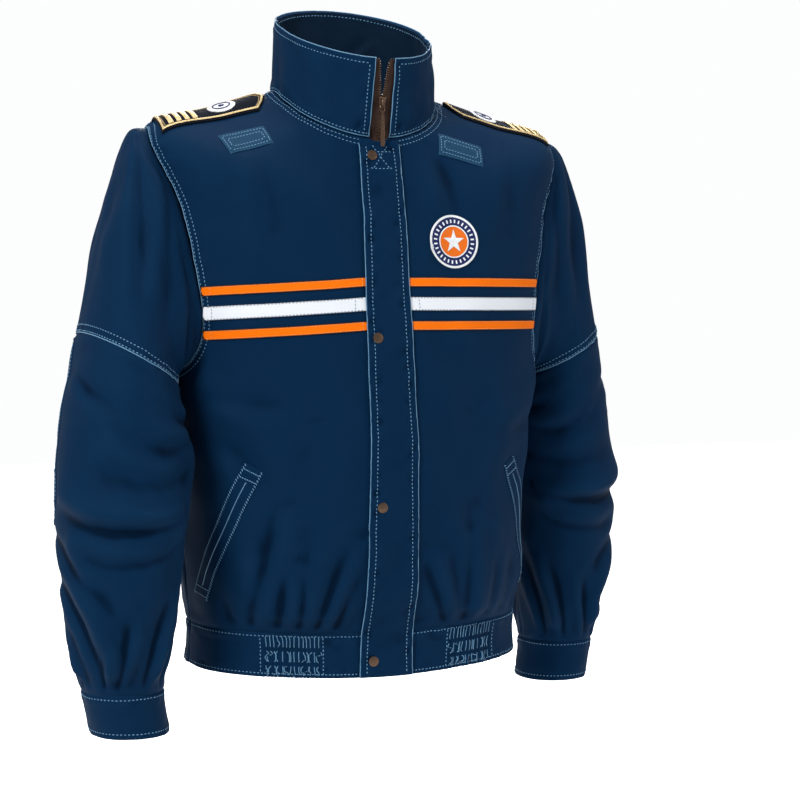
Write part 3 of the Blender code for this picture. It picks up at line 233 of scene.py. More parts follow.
# Hem band; its top edge is tucked a little under the panel
SHIRRING = {"front": (0.070, 0.130), "back": (0.102, 0.166)}
GATHERS = 15
HEM_TUCK = 0.08
GATHER_HEIGHT = 0.0022
ELASTIC_ROWS = (0.31, 0.64)

# Collar, storm flap and zip
COLLAR_TOP_WIDTH = 0.0826
COLLAR_TOP_FRONT = 0.108
COLLAR_TOP_BACK = 0.076
COLLAR_TOP_Z = 0.068
COLLAR_TOP_SLOPE = 0.40
COLLAR_OPENING = 0.011
FlapRow = namedtuple("FlapRow", "z right_x left_x")
FLAP = (
    FlapRow(-0.0585, -0.0235, 0.0205),
    FlapRow(-0.230, -0.0300, 0.0180),
    FlapRow(-0.370, -0.0270, 0.0245),
    FlapRow(-0.500, -0.0290, 0.0260),
    FlapRow(-0.6180, -0.0305, 0.0275),
)
FLAP_SNAPS = ((-0.0115, -0.075), (-0.0190, -0.263), (-0.0150, -0.437), (-0.0165, -0.600))
ZIP_TAPE_WIDTH = 0.015
ZIP_MIDDLE_GAP = 0.0012
ZIP_PARTED = 0.006
ZIP_TAPE_BEND = 0.0020
ZIP_TAPE_COLLAR_BEND = 0.0009
SLIDER_RISE = 0.45
SLIDER_GAP = 0.0003
# The ring's upper wire lies on the hinge's axis, so that it turns in place inside the bridge
PULL_RING_DROP = 0.00433
TOOTH_PITCH = 0.0024

# Tapes, pockets, loops, badges and boards
Tape = namedtuple("Tape", "name offset width finish slot")
TAPES = (
    Tape("upper", 0.0225, 0.010, "orange_tape", "orange_tape"),
    Tape("middle", 0.0, 0.015, "white_tape", "white_tape"),
    Tape("lower", -0.0225, 0.010, "orange_tape", "orange_tape"),
)
FRONT_TAPE_Z = -0.228
RIGHT_TAPE_DROP = 0.010
TAPE_END_TURN = 0.012
BACK_TAPE_Z = -0.343
BACK_TAPE_SAG = 0.006
BACK_TAPE_SPREAD = 0.85
YOKE_ROUND = radians(-198)
YOKE_SAG = 0.004
POCKET_CORNERS = ((58, -0.390), (52, -0.400), (74.5, -0.538), (83, -0.533))
LOOP_CORNERS = {
    "right": ((-0.168, -0.056), (-0.118, -0.044), (-0.113, -0.063), (-0.160, -0.076)),
    "left": ((0.072, -0.047), (0.121, -0.060), (0.116, -0.083), (0.067, -0.070)),
}
BADGE_MIDDLE = (0.072, -0.163)
BADGE_RADIUS = 0.028
SLEEVE_BADGE_STATIONS = (2.72, 3.22)
SLEEVE_BADGE_HALF_TURN = 13
BOARD_OUTER_X = 0.219
BOARD_MIDDLE_Y = -0.012
BOARD_LENGTH = 0.118
BOARD_WIDTH = 0.050
BOARD_POINT = 0.014
BOARD_CLOTH = 0.0024
BRAID_INSET = 0.0015
BRAID_WIDTH = 0.0022
BARS = 4
BAR_START = 0.0090
BAR_PITCH = 0.0085
BAR_WIDTH = 0.0050
BAR_REACH = 0.0185
DISC_ALONG = 0.070
DISC_RADIUS = 0.0150

# Sewing
STITCH_PITCH = 0.0041
STITCH_LENGTH = 0.0027
STITCH_RADIUS = 0.00058
EDGE_THREAD = 0.00055
SIDES = (("right", -1), ("left", 1))


def between(values, at):
    """A smooth curve through values at 0, 1, 2 and so on, read at any place between them."""
    values = np.asarray(values, float)
    at = np.clip(np.asarray(at, float), 0, len(values) - 1)
    low = np.minimum(at.astype(int), len(values) - 2)
    part = at - low
    padded = np.concatenate([[2 * values[0] - values[1]], values, [2 * values[-1] - values[-2]]])
    before, start, end, after = (padded[low + k] for k in range(4))
    rise_start = (end - before) / 2
    rise_end = (after - start) / 2
    step = end - start
    bend = 3 * step - 2 * rise_start - rise_end
    return start + part * (rise_start + part * (bend + part * (rise_start + rise_end - 2 * step)))


def column(table, name):
    return [getattr(row, name) for row in table]


def signed_power(value, power):
    return np.sign(value) * np.abs(value) ** power


def unit(vectors):
    return vectors / np.maximum(np.linalg.norm(vectors, axis=-1, keepdims=True), 1e-12)


def smooth(share):
    share = np.clip(share, 0, 1)
    return share * share * (3 - 2 * share)


CREASE_DEPTH = 1.35


def crease_height(across, along, table, wrap=None):
    """Height of a table's creases at points laid out flat, in metres."""
    total = np.zeros(np.shape(across))
    steps = np.linspace(0, 1, 12)
    for crease in table:
        start, middle, end = (np.array(pair) for pair in (crease[0:2], crease[2:4], crease[4:6]))
        s = steps[:, None]
        line = (1 - s) ** 2 * start + 2 * s * (1 - s) * middle + s * s * end
        near = across
        if wrap is not None:
            line = line * wrap[0]
            centre = line[:, 0].mean()
            near = (across - centre + wrap[1] / 2) % wrap[1] - wrap[1] / 2 + centre
        reach = 4 * crease.width
        low, high = line.min(axis=0) - reach, line.max(axis=0) + reach
        close = (near > low[0]) & (near < high[0]) & (along > low[1]) & (along < high[1])
        if not close.any():
            continue
        x, y = near[close], along[close]
        best = np.full(x.shape, np.inf)
        share, offset = np.zeros(x.shape), np.zeros(x.shape)
        for k in range(len(line) - 1):
            run = line[k + 1] - line[k]
            long = run @ run
            part = np.clip(((x - line[k, 0]) * run[0] + (y - line[k, 1]) * run[1]) / long, 0, 1)
            off_x, off_y = x - line[k, 0] - part * run[0], y - line[k, 1] - part * run[1]
            away = np.hypot(off_x, off_y)
            nearer = away < best
            best = np.where(nearer, away, best)
            share = np.where(nearer, (k + part) / (len(line) - 1), share)
            turn = np.sign(run[0] * off_y - run[1] * off_x)
            offset = np.where(nearer, turn * away, offset)
        fade = np.sin(pi * np.clip(0.06 + 0.90 * share, 0, 1)) ** 0.7
        width = crease.width * (0.75 + 0.6 * share)
        ridge = np.exp(-((best / width) ** 2))
        lee = np.exp(-(((offset - 1.5 * width) / (0.95 * width)) ** 2)) * np.exp(-((best / (3 * width)) ** 2))
        total[close] += CREASE_DEPTH * crease.height * fade * (0.8 * ridge - 1.1 * lee)
    return total


def ripple(across, along, seed, length, height):
    """An uneven, soft wave in the cloth, the same each run."""
    draw = np.random.default_rng(seed)
    total = np.zeros(np.shape(across))
    for _ in range(7):
        angle = draw.uniform(0, tau)
        wave = length * draw.uniform(0.7, 1.5)
        phase = draw.uniform(0, tau)
        total += np.sin(tau * (across * cos(angle) + along * sin(angle)) / wave + phase)
    return total * height / 7 * 1.8


def ridge_between(along_x, along_y, ends, width):
    """Height from 0 to 1 of a soft fold round the line between two ends, fading towards both."""
    (start_x, start_y), (end_x, end_y) = ends
    run_x, run_y = end_x - start_x, end_y - start_y
    part = ((along_x - start_x) * run_x + (along_y - start_y) * run_y) / (run_x**2 + run_y**2)
    held = np.clip(part, 0, 1)
    away = np.hypot(along_x - start_x - held * run_x, along_y - start_y - held * run_y)
    return np.exp(-((away / width) ** 2)) * (1 - 0.45 * held)


def body_base(turn, level):
    """The body's surface before folds: turn round from centre front, level up the rings."""
    turn, level = np.broadcast_arrays(np.asarray(turn, float), np.asarray(level, float))
    front = np.cos(turn) > 0
    depth = np.where(
        front, between(column(TORSO, "front_depth"), level), between(column(TORSO, "back_depth"), level)
    )
    end_z = np.where(front, between(column(TORSO, "front_z"), level), between(column(TORSO, "back_z"), level))
    width = between(column(TORSO, "half_width"), level)
    across = np.abs(np.sin(turn) / width) ** BODY_SQUARENESS
    along = np.abs(np.cos(turn) / depth) ** BODY_SQUARENESS
    reach = (across + along) ** (-1 / BODY_SQUARENESS)
    side_share = 1 - np.abs(np.cos(turn)) ** RIDGE_ROUNDNESS
    z = end_z + (between(column(TORSO, "side_z"), level) - end_z) * side_share
    return np.stack([reach * np.sin(turn), -reach * np.cos(turn), z], axis=-1)


def normal_of(surface, a, b, outward_from):
    """Unit normals of surface(a, b), pointing away from the given inner points."""
    step = 1e-4
    along_a = surface(a + step, b) - surface(a - step, b)
    along_b = surface(a, b + step) - surface(a, b - step)
    normal = unit(np.cross(along_a, along_b))
    facing = np.sum(normal * (surface(a, b) - outward_from), axis=-1, keepdims=True)
    return np.where(facing < 0, -normal, normal)


def body_normal(turn, level):
    turn, level = np.broadcast_arrays(np.asarray(turn, float), np.asarray(level, float))
    point = body_base(turn, level)
    inside = point * [0.2, 0.2, 1] - [0, 0, 0.10]
    return normal_of(body_base, turn, level, inside)


def body_relief(turn, level):
    """How far folds, creases and ripples lift the body's cloth, fading at the hem seam and the neck."""
    point = body_base(turn, level)
    front = np.cos(np.asarray(turn) + 0 * point[..., 0]) > 0
    large = np.zeros(point.shape[:-1])
    for fold in BODY_FOLDS:
        ends = ((fold.x_low, fold.z_low), (fold.x_high, fold.z_high))
        height = fold.depth * ridge_between(point[..., 0], point[..., 2], ends, fold.width)
        large += np.where(front == (fold.place == "front"), height, 0)
    large *= np.clip((np.asarray(level) - HEM_SEAM) / 0.5, 0, 1)
    small = np.where(
        front,
        crease_height(point[..., 0], point[..., 2], FRONT_CREASES),
        crease_height(point[..., 0], point[..., 2], BACK_CREASES),
    )
    side = np.abs(np.cos(turn)) ** 0.5
    small = small * side
    around = np.asarray(turn) * 0.17 + 0 * point[..., 0]
    small = small + ripple(around, point[..., 2], 3, 0.070, 0.0011)
    small = small + ripple(around, point[..., 2], 4, 0.030, 0.0002)
    level = np.asarray(level, float)
    held = smooth((level - HEM_SEAM) / 0.25) * smooth((NECK - level) / 0.6)
    return large + small * held


def body(turn, level, lift=0.0):
    """A point on the body's cloth, lifted off its outer face."""
    lift = np.asarray(lift, float) + body_relief(turn, level)
    return body_base(turn, level) + lift[..., None] * body_normal(turn, level)


def find(axes, targets, turns, levels):
    """The (turn, level) of surface points whose two named axes have the target values."""
    targets = np.asarray(targets, float)
    grid_turn, grid_level = np.meshgrid(np.linspace(*turns, 41), np.linspace(*levels, 61))
    grid = body_base(grid_turn, grid_level)[..., axes].reshape(-1, 2)
    flat = targets.reshape(-1, 2)
    nearest = [np.argmin(np.sum((grid - target) ** 2, axis=1)) for target in flat]
    turn, level = grid_turn.ravel()[nearest], grid_level.ravel()[nearest]
    step = 1e-4
    for _ in range(12):
        here = body_base(turn, level)[:, axes]
        by_turn = (body_base(turn + step, level)[:, axes] - here) / step
        by_level = (body_base(turn, level + step)[:, axes] - here) / step
        miss = flat - here
        area = by_turn[:, 0] * by_level[:, 1] - by_turn[:, 1] * by_level[:, 0]
        area = np.where(np.abs(area) < 1e-7, 1e-7, area)
        turn = turn + np.clip((miss[:, 0] * by_level[:, 1] - miss[:, 1] * by_level[:, 0]) / area, -0.05, 0.05)
        level = level + np.clip((by_turn[:, 0] * miss[:, 1] - by_turn[:, 1] * miss[:, 0]) / area, -0.3, 0.3)
        level = np.clip(level, 0, NECK)
    shape = targets.shape[:-1]
    return turn.reshape(shape), level.reshape(shape)


def on_front(xz):
    return find([0, 2], xz, (radians(-85), radians(85)), (0, NECK))


def on_shoulder(xy, side):
    return find([0, 1], xy, (side * radians(50), side * radians(115)), (SHOULDER_TIP - 0.4, NECK))


def level_at(turn, z):
    """The level at which a ring passes a height."""
    low = np.zeros(np.broadcast(turn, z).shape)
    high = low + NECK
    for _ in range(36):
        middle = (low + high) / 2
        above = body_base(turn, middle)[..., 2] > z
        low, high = np.where(above, low, middle), np.where(above, middle, high)
    return (low + high) / 2


def turn_at_x(x, level, back=False):
    """The turn at which a ring passes an x, in front or behind."""
    low = np.zeros(np.broadcast(x, level).shape)
    high = low + pi / 2
    for _ in range(36):
        middle = (low + high) / 2
        short = body_base(middle if not back else pi - middle, level)[..., 0] < np.abs(x)
        low, high = np.where(short, middle, low), np.where(short, high, middle)
    turn = (low + high) / 2
    return np.sign(x) * (pi - turn if back else turn)


def armhole(side, round_at):
    """The armhole seam as (turn, level)."""
    power = 2 / ARMHOLE_SQUARENESS
    scoop = 1 - ARMHOLE_SCOOP * np.sin(round_at)
    turn = side * (pi / 2 - ARMHOLE_TURN * scoop * signed_power(np.cos(round_at), power))
    half = (SHOULDER_TIP - UNDERARM) / 2
    level = UNDERARM + half * (1 + signed_power(np.sin(round_at), power))
    return turn, level


def front_turn(level):
    return FRONT_EDGE / between(column(TORSO, "front_depth"), level)


def side_turn(level):
    """The turn of the side seam and, above the armhole, of the shoulder seam, which runs a little behind."""
    rise = np.clip((level - SHOULDER_TIP) / (NECK - SHOULDER_TIP), 0, 1)
    return pi / 2 + SHOULDER_SEAM_BACK * rise


def sleeve_oval(side, round_at, station):
    round_at, station = np.broadcast_arrays(np.asarray(round_at, float), np.asarray(station, float))
    outer_x, outer_z, inner_x, inner_z, half_depth, right_sway, left_sway = (
        between(column(SLEEVE, name), station) for name in Station._fields[1:]
    )
    power = 2 / SLEEVE_SQUARENESS
    up = signed_power(np.sin(round_at), power)
    forward = signed_power(np.cos(round_at), power)
    x = (outer_x + inner_x) / 2 + (outer_x - inner_x) / 2 * up
    z = (outer_z + inner_z) / 2 + (outer_z - inner_z) / 2 * up
    sway = right_sway if side < 0 else left_sway
    return np.stack([side * x, sway - half_depth * forward, z], axis=-1)


def sleeve_base(side, round_at, station):
    """The sleeve's surface before folds: the oval ring, drawn to the armhole at its top."""
    point = sleeve_oval(side, round_at, station)
    turn, level = armhole(side, round_at)
    seam = body(turn, level) - sleeve_oval(side, round_at, 0 * station)
    share = np.clip(np.asarray(station, float) / ARM_SEAM, 0, 1)
    drawn = 1 - share * share * (3 - 2 * share)
    return point + seam * drawn[..., None]


def sleeve_normal(side, round_at, station):
    round_at, station = np.broadcast_arrays(np.asarray(round_at, float), np.asarray(station, float))
    held = np.clip(station, 2e-4, CUFF_EDGE - 2e-4)
    ends = (sleeve_oval(side, quarter + 0 * round_at, held) for quarter in (-pi / 2, pi / 2))
    return normal_of(lambda a, b: sleeve_base(side, a, b), round_at, held, sum(ends) / 2)


def sleeve_relief(side, round_at, station):
    """How far folds, creases and ripples lift a sleeve's cloth, fading at its three seams."""
    large = np.zeros(np.broadcast(round_at, station).shape)
    for fold in SLEEVE_FOLDS:
        middle = radians(fold.round_a + fold.round_b) / 2
        near = (round_at - middle + pi) % tau - pi + middle
        ends = (
            (radians(fold.round_a) * ROUND_LENGTH, fold.station_a * STATION_LENGTH),
            (radians(fold.round_b) * ROUND_LENGTH, fold.station_b * STATION_LENGTH),
        )
        large = large + fold.depth * ridge_between(near * ROUND_LENGTH, station * STATION_LENGTH, ends, fold.width)
    across, along = round_at * ROUND_LENGTH, station * STATION_LENGTH + 0 * round_at
    scale = np.array([radians(1) * ROUND_LENGTH, STATION_LENGTH])
    small = crease_height(across, along, SLEEVE_CREASES, wrap=(scale, tau * ROUND_LENGTH))
    around = np.stack([np.cos(round_at), np.sin(round_at)])
    small = small + ripple(around[0] * 0.06 + along, around[1] * 0.06, 11 + side, 0.060, 0.0008)
    small = small + ripple(around[0] * 0.07, around[1] * 0.07 + along, 14 + side, 0.028, 0.0002)
    wide, narrow = np.ones(large.shape), np.ones(large.shape)
    for seam in (0, ARM_SEAM, CUFF_SEAM):
        wide = wide * np.clip(np.abs(station - seam) / 0.5, 0, 1)
        narrow = narrow * smooth(np.abs(station - seam) / 0.22)
    return np.where(station > CUFF_SEAM, 0, large * wide + small * narrow)


def sleeve(side, round_at, station, lift=0.0):
    """A point on a sleeve's cloth, lifted off its outer face."""
    round_at, station = np.broadcast_arrays(np.asarray(round_at, float), np.asarray(station, float))
    lift = np.asarray(lift, float) + sleeve_relief(side, round_at, station)
    return sleeve_base(side, round_at, station) + lift[..., None] * sleeve_normal(side, round_at, station)


def collar_base(turn, rise):
    """The collar's outer face, from the neck seam at rise 0 to its top edge at rise 1."""
    turn, rise = np.broadcast_arrays(np.asarray(turn, float), np.asarray(rise, float))
    low = body_base(turn, NECK + 0 * turn)
    depth = np.where(np.cos(turn) > 0, COLLAR_TOP_FRONT, COLLAR_TOP_BACK)
    across = np.abs(np.sin(turn) / COLLAR_TOP_WIDTH) ** 2
    reach = (across + np.abs(np.cos(turn) / depth) ** 2) ** -0.5
    x, y = reach * np.sin(turn), -reach * np.cos(turn)
    high = np.stack([x, y, COLLAR_TOP_Z + COLLAR_TOP_SLOPE * y], axis=-1)
    return low + (high - low) * rise[..., None]


def collar(turn, rise, lift=0.0):
    turn, rise = np.broadcast_arrays(np.asarray(turn, float), np.asarray(rise, float))
    point = collar_base(turn, rise)
    normal = normal_of(collar_base, turn, np.clip(rise, 0, 1), point * [0.5, 0.5, 1])
    return point + np.broadcast_to(lift, turn.shape)[..., None] * normal


def collar_turn(turn):
    """A turn from 0 to a full turn, as the collar's creases name it."""
    return (np.degrees(turn) + 180) % 360 - 180


def quad_grid(corners, across, along):
    """A grid of points over a four-cornered outline."""
    start_a, start_b, end_b, end_a = (np.asarray(corner, float) for corner in corners)
    share_across = np.linspace(0, 1, across + 1)[None, :, None]
    share_along = np.linspace(0, 1, along + 1)[:, None, None]
    start = start_a + (start_b - start_a) * share_across
    end = end_a + (end_b - end_a) * share_across
    return start + (end - start) * share_along


def cells(length, least=2, cell=None):
    return max(least, int(np.ceil(length / (cell or CELL))))


def edged(length, first=True, last=True, cell=None):
    """Shares from 0 to 1 with finer steps beside the edges that are seams or folds."""
    fine = [0, 0.0007, 0.0016, 0.0028, 0.0044]
    fine = [value / length for value in fine]
    low = fine if first else [0]
    high = [1 - value for value in reversed(fine)] if last else [1]
    count = cells(length * (high[0] - low[-1]), cell=cell)
    middle = np.linspace(low[-1], high[0], count + 1)[1:-1]
    return np.concatenate([low, middle, high])


def rows_like(length, count):
    """Shares from 0 to 1, count of them, with the same fine steps at both ends."""
    fine = np.array([0, 0.0007, 0.0016, 0.0028, 0.0044]) / length
    middle = np.linspace(fine[-1], 1 - fine[-1], count - 2 * len(fine) + 2)[1:-1]
    return np.concatenate([fine, middle, 1 - fine[::-1]])


# Surfaces that pieces and stitches are laid on. The sign turns a surface's own normal outwards.
Surface = namedtuple("Surface", "point sign")


def collar_shaped(turn, rise, lift=0.0):
    turn, rise = np.broadcast_arrays(np.asarray(turn, float), np.asarray(rise, float))
    degree, tall = 0.0016, 0.095
    creases = crease_height(
        collar_turn(turn) * degree, rise * tall, COLLAR_CREASES, wrap=(np.array([degree, tall]), 360 * degree)
    )
    soft = ripple(np.sin(turn) * 0.09, np.cos(turn) * 0.09 + rise * tall, 23, 0.050, 0.0009)
    held = smooth(rise / 0.25)
    return collar(turn, rise, np.asarray(lift, float) + (creases + soft) * held)


BODY = Surface(body, 1)
COLLAR = Surface(collar_shaped, 1)
ARM = {side: Surface(lambda a, b, lift=0.0, side=side: sleeve(side, a, b, lift), -side) for side in (-1, 1)}


def slopes(surface, a, b, lift=0.0):
    """A surface's points, its two slopes and its outward normals."""
    step = 1e-4
    here = surface.point(a, b, lift)
    by_a = (surface.point(a + step, b, lift) - here) / step
    by_b = (surface.point(a, b + step, lift) - here) / step
    return here, by_a, by_b, surface.sign * unit(np.cross(by_a, by_b))


def beside(surface, a, b, distance, toward):
    """The line at a distance from the line (a, b) on a surface, on the side that toward points to."""
    a, b = np.broadcast_arrays(np.asarray(a, float), np.asarray(b, float))
    here, by_a, by_b, normal = slopes(surface, a, b)
    tangent = unit(np.gradient(here, axis=0))
    away = np.cross(normal, tangent)
    aim = np.asarray(toward[0])[..., None] * by_a + np.asarray(toward[1])[..., None] * by_b
    away = away * np.sign(np.sum(away * aim, axis=-1, keepdims=True)) * distance
    aa, ab, bb = ((p * q).sum(axis=-1) for p, q in ((by_a, by_a), (by_a, by_b), (by_b, by_b)))
    ra, rb = (away * by_a).sum(axis=-1), (away * by_b).sum(axis=-1)
    area = np.maximum(aa * bb - ab * ab, 1e-12)
    return a + (ra * bb - rb * ab) / area, b + (rb * aa - ra * ab) / area


def distance_to(points, line):
    """Distance of each point from a line of joined places."""
    flat = points.reshape(-1, 3)
    best = np.full(len(flat), 0.05)
    low, high = line.min(axis=0) - 0.03, line.max(axis=0) + 0.03
    close = np.all((flat > low) & (flat < high), axis=1)
    near = flat[close]
    nearest = best[close]
    for start, end in zip(line[:-1], line[1:]):
        run = end - start
        part = np.clip(((near - start) @ run) / max(run @ run, 1e-14), 0, 1)
        nearest = np.minimum(nearest, np.linalg.norm(near - start - part[:, None] * run, axis=1))
    best[close] = nearest
    return best.reshape(points.shape[:-1])


Edge = namedtuple("Edge", "line kind rows")


def edge_relief(points, edges, seed, pucker=1.0):
    """How seams, folded edges and rows of stitches shape the cloth, and how near the nearest edge is."""
    relief = np.zeros(points.shape[:-1])
    nearest = np.full(points.shape[:-1], 0.05)
    pull = pucker * ripple(points[..., 0] + points[..., 1], points[..., 2], seed, 0.017, 0.0009)
    for edge in edges:
        away = distance_to(points, edge.line)
        nearest = np.minimum(nearest, away)
        if edge.kind == "seam":
            relief = relief - 0.0010 * np.exp(-((away / 0.0014) ** 2))
            relief = relief + 0.0005 * np.exp(-(((away - 0.0055) / 0.0035) ** 2))
        if edge.kind == "fold":
            relief = relief - 0.0009 * (1 - np.clip(away / 0.0016, 0, 1)) ** 2
        for row in edge.rows:
            relief = relief - 0.00045 * np.exp(-(((away - row) / 0.0011) ** 2))
        if edge.rows:
            relief = relief + pull * np.exp(-(((away - 0.006) / 0.008) ** 2))
    return relief, nearest


def deselect():
    bpy.ops.object.select_all(action="DESELECT")


def apply_modifiers(made):
    deselect()
    made.select_set(True)
    bpy.context.view_layer.objects.active = made
    for modifier in list(made.modifiers):
        bpy.ops.object.modifier_apply(modifier=modifier.name)


def facing(points, inside, closed):
    """Unit normals of a grid of points, away from the inside."""
    if closed:
        wrapped = np.concatenate([points[:, -2:-1], points, points[:, 1:2]], axis=1)
        along_a = wrapped[:, 2:] - wrapped[:, :-2]
    else:
        along_a = np.gradient(points, axis=1)
    normals = unit(np.cross(along_a, np.gradient(points, axis=0)))
    outward = np.sum(normals * (points - inside), axis=-1).mean()
    return normals if outward > 0 else -normals


def lengths(points, axis):
    """How far along the cloth each point of a grid lies from the first one."""
    runs = np.linalg.norm(np.diff(points, axis=axis), axis=-1)
    zero = np.zeros_like(points[:, :1, 0] if axis == 1 else points[:1, :, 0])
    return np.concatenate([zero, np.cumsum(runs, axis=axis)], axis=axis)


def crests(points, normals):
    """How much each place stands out from the cloth round it, from -1 in a trough to 1 on a crest."""
    reach = 3
    padded = np.pad(points, ((reach, reach), (reach, reach), (0, 0)), mode="edge")
    rows, columns = points.shape[:2]
    across = padded[reach : reach + rows, 2 * reach :] + padded[reach : reach + rows, :columns]
    along = padded[2 * reach :, reach : reach + columns] + padded[:rows, reach : reach + columns]
    out = np.sum((points - (across + along) / 4) * normals, axis=-1)
    out[:reach] = out[-reach:] = out[:, :reach] = out[:, -reach:] = 0
    return np.clip(out / 0.0022, -1, 1)


def make_sheet(name, points, normals, thickness, finish, lining, nearest, closed=False, strip=None):
    """Cloth from a grid of points: a grid primitive drawn onto them, thickened inwards."""
    rows, columns = points.shape[:2]
    deselect()
    bpy.ops.mesh.primitive_grid_add(x_subdivisions=columns - 1, y_subdivisions=rows - 1, size=1)
    made = bpy.context.object
    made.name = name
    mesh = made.data
    mesh.name = name
    flat = np.empty(len(mesh.vertices) * 3)
    mesh.vertices.foreach_get("co", flat)
    flat = flat.reshape(-1, 3)
    across = np.rint((flat[:, 0] + 0.5) * (columns - 1)).astype(int)
    along = np.rint((flat[:, 1] + 0.5) * (rows - 1)).astype(int)
    mesh.vertices.foreach_set("co", points[along, across].ravel())
    corner = np.empty(len(mesh.loops), int)
    mesh.loops.foreach_get("vertex_index", corner)
    spread = np.stack([lengths(points, 1), lengths(points, 0)], axis=-1)
    mesh.uv_layers.active.data.foreach_set("uv", spread[along, across][corner].ravel())
    measured = [("edge", nearest), ("crest", crests(points, normals))]
    if strip is not None:
        measured.append(("strip", strip))
    for label, values in measured:
        stored = mesh.attributes.new(label, "FLOAT", "POINT")
        stored.data.foreach_set("value", values[along, across].astype(np.float32))
    middle_row, middle_column = rows // 2, columns // 2
    across_way = points[middle_row, middle_column] - points[middle_row, middle_column - 1]
    along_way = points[middle_row, middle_column] - points[middle_row - 1, middle_column]
    inside_out = np.cross(across_way, along_way) @ normals[middle_row, middle_column] < 0
    bpy.ops.object.mode_set(mode="EDIT")
    bpy.ops.mesh.select_all(action="SELECT")
    if closed:
        bpy.ops.mesh.remove_doubles(threshold=1e-5)
    if inside_out:
        bpy.ops.mesh.flip_normals()
    bpy.ops.object.mode_set(mode="OBJECT")
    mesh.materials.append(finish)
    mesh.materials.append(lining)
    thick = made.modifiers.new("thickness", "SOLIDIFY")
    thick.thickness = thickness
    thick.offset = -1
    thick.material_offset = 1
    thick.material_offset_rim = 0 if strip is None else 1
    apply_modifiers(made)
    bpy.ops.object.shade_smooth_by_angle(angle=radians(55))
    return made


def cut_size(points):
    """The flat cut of a grid of cloth: its widest and longest run, and its area."""
    run_a, run_b = np.diff(points, axis=1)[:-1], np.diff(points, axis=0)[:, :-1]
    area = np.linalg.norm(np.cross(run_a, run_b), axis=-1).sum()
    wide, long = lengths(points, 1)[:, -1].max(), lengths(points, 0)[-1].max()
    wide, long = (max(0.010, np.ceil(size * 1000) / 1000) for size in (wide, long))
    return (wide, long), min(area, wide * long)


def dress(made, node, on="jacket"):
    """A finished piece rides on its body and stands for its CAD node."""
    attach(made, on)
    if node:
        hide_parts(*([node] if isinstance(node, str) else node))
    return made


def cloth(name, points, inside, thickness, finish, node, edges, closed=False, seed=1,
          pucker=1.0, strip=None):
    """One piece of cloth: its seams and edges pressed into a grid of points, then made and put in place of its CAD
    node.
    """
    normals = facing(points, inside, closed)
    relief, nearest = edge_relief(points, edges, seed, pucker)
    shaped = points + relief[..., None] * normals
    if closed:
        shaped[:, -1] = shaped[:, 0]
    made = make_sheet(name, shaped, normals, thickness, finish, finishes["lining"], nearest, closed, strip)
    dress(made, node)
    trees[name] = BVHTree.FromObject(made, bpy.context.evaluated_depsgraph_get())
    flat, area = cut_size(shaped)
    if area < 0.3 * flat[0] * flat[1]:
        area = 0.3 * flat[0] * flat[1]
    return made


# The finished cloth's surfaces by piece, which stitches and what is laid on the cloth are seated on
trees = {}
FRONTS = ("cloth_front_right", "cloth_front_left")
SEATS = {
    "body_front": FRONTS,
    "body_back": ("cloth_back_panel", "cloth_back_yoke"),
    "sleeve_right": ("cloth_sleeve_upper_right", "cloth_sleeve_lower_right", "cloth_elbow_patch_right"),
    "sleeve_left": (
        "cloth_sleeve_upper_left", "cloth_sleeve_lower_left", "cloth_elbow_patch_left", "cloth_sleeve_badge",
    ),
    "cuffs": ("cloth_cuff_right", "cloth_cuff_left"),
    "hem": ("cloth_hem_front_right", "cloth_hem_front_left", "cloth_hem_back"),
    "collar": ("cloth_collar",),
    "flap": ("cloth_flap",),
    "tapes_orange": tuple(
        "cloth_tape_{}_{}".format(row, where) for row in ("upper", "lower") for where in ("back", "front_right", "front_left")
    ),
    "tapes_white": tuple("cloth_tape_middle_" + where for where in ("back", "front_right", "front_left")),
    "pockets": ("cloth_pocket_right", "cloth_pocket_left", "cloth_radio_loop_right", "cloth_radio_loop_left"),
    "boards": ("cloth_board_right", "cloth_board_left"),
}


def seated(points, normals, names, reach=0.004):
    """Points moved along their normals onto the outermost of the named pieces, where one is near."""
    flat, ways = points.reshape(-1, 3).copy(), normals.reshape(-1, 3)
    for k, (point, way) in enumerate(zip(flat, ways)):
        start, down = Vector(point + reach * way), Vector(-way)
        hits = [trees[name].ray_cast(start, down, 2 * reach) for name in names if name in trees]
        found = [hit for hit in hits if hit[0] is not None]
        if found:
            flat[k] = min(found, key=lambda hit: hit[3])[0]
    return flat.reshape(points.shape)


# Stitches wait here, by the mesh that they are joined into, until all the cloth is made
sewn = {}


def sew(mesh_name, surface, a, b, lift=0.0, trim=(0.0, 0.0), pitch=STITCH_PITCH, flip=False):
    """Notes a row of stitches along a line on a surface."""
    here, _, _, normal = slopes(surface, np.asarray(a, float), np.asarray(b, float), lift)
    if flip:
        normal = -normal
    sew_line(mesh_name, here, normal, trim, pitch)


def sew_line(mesh_name, line, normal, trim=(0.0, 0.0), pitch=STITCH_PITCH, long=STITCH_LENGTH):
    run = np.concatenate([[0], np.cumsum(np.linalg.norm(np.diff(line, axis=0), axis=1))])
    low, high = trim[0], run[-1] - trim[1]
    count = int((high - low) / pitch)
    if count < 1:
        return
    middles = low + (high - low - count * pitch) / 2 + (np.arange(count) + 0.5) * pitch
    places = [np.stack([np.interp(middles + k, run, line[:, i]) for i in range(3)], axis=1) for k in (-5e-4, 0, 5e-4)]
    facing_up = unit(np.stack([np.interp(middles, run, normal[:, i]) for i in range(3)], axis=1))
    along = unit(places[2] - places[0])
    sewn.setdefault(mesh_name, []).append((places[1], along, facing_up, np.full(count, long)))


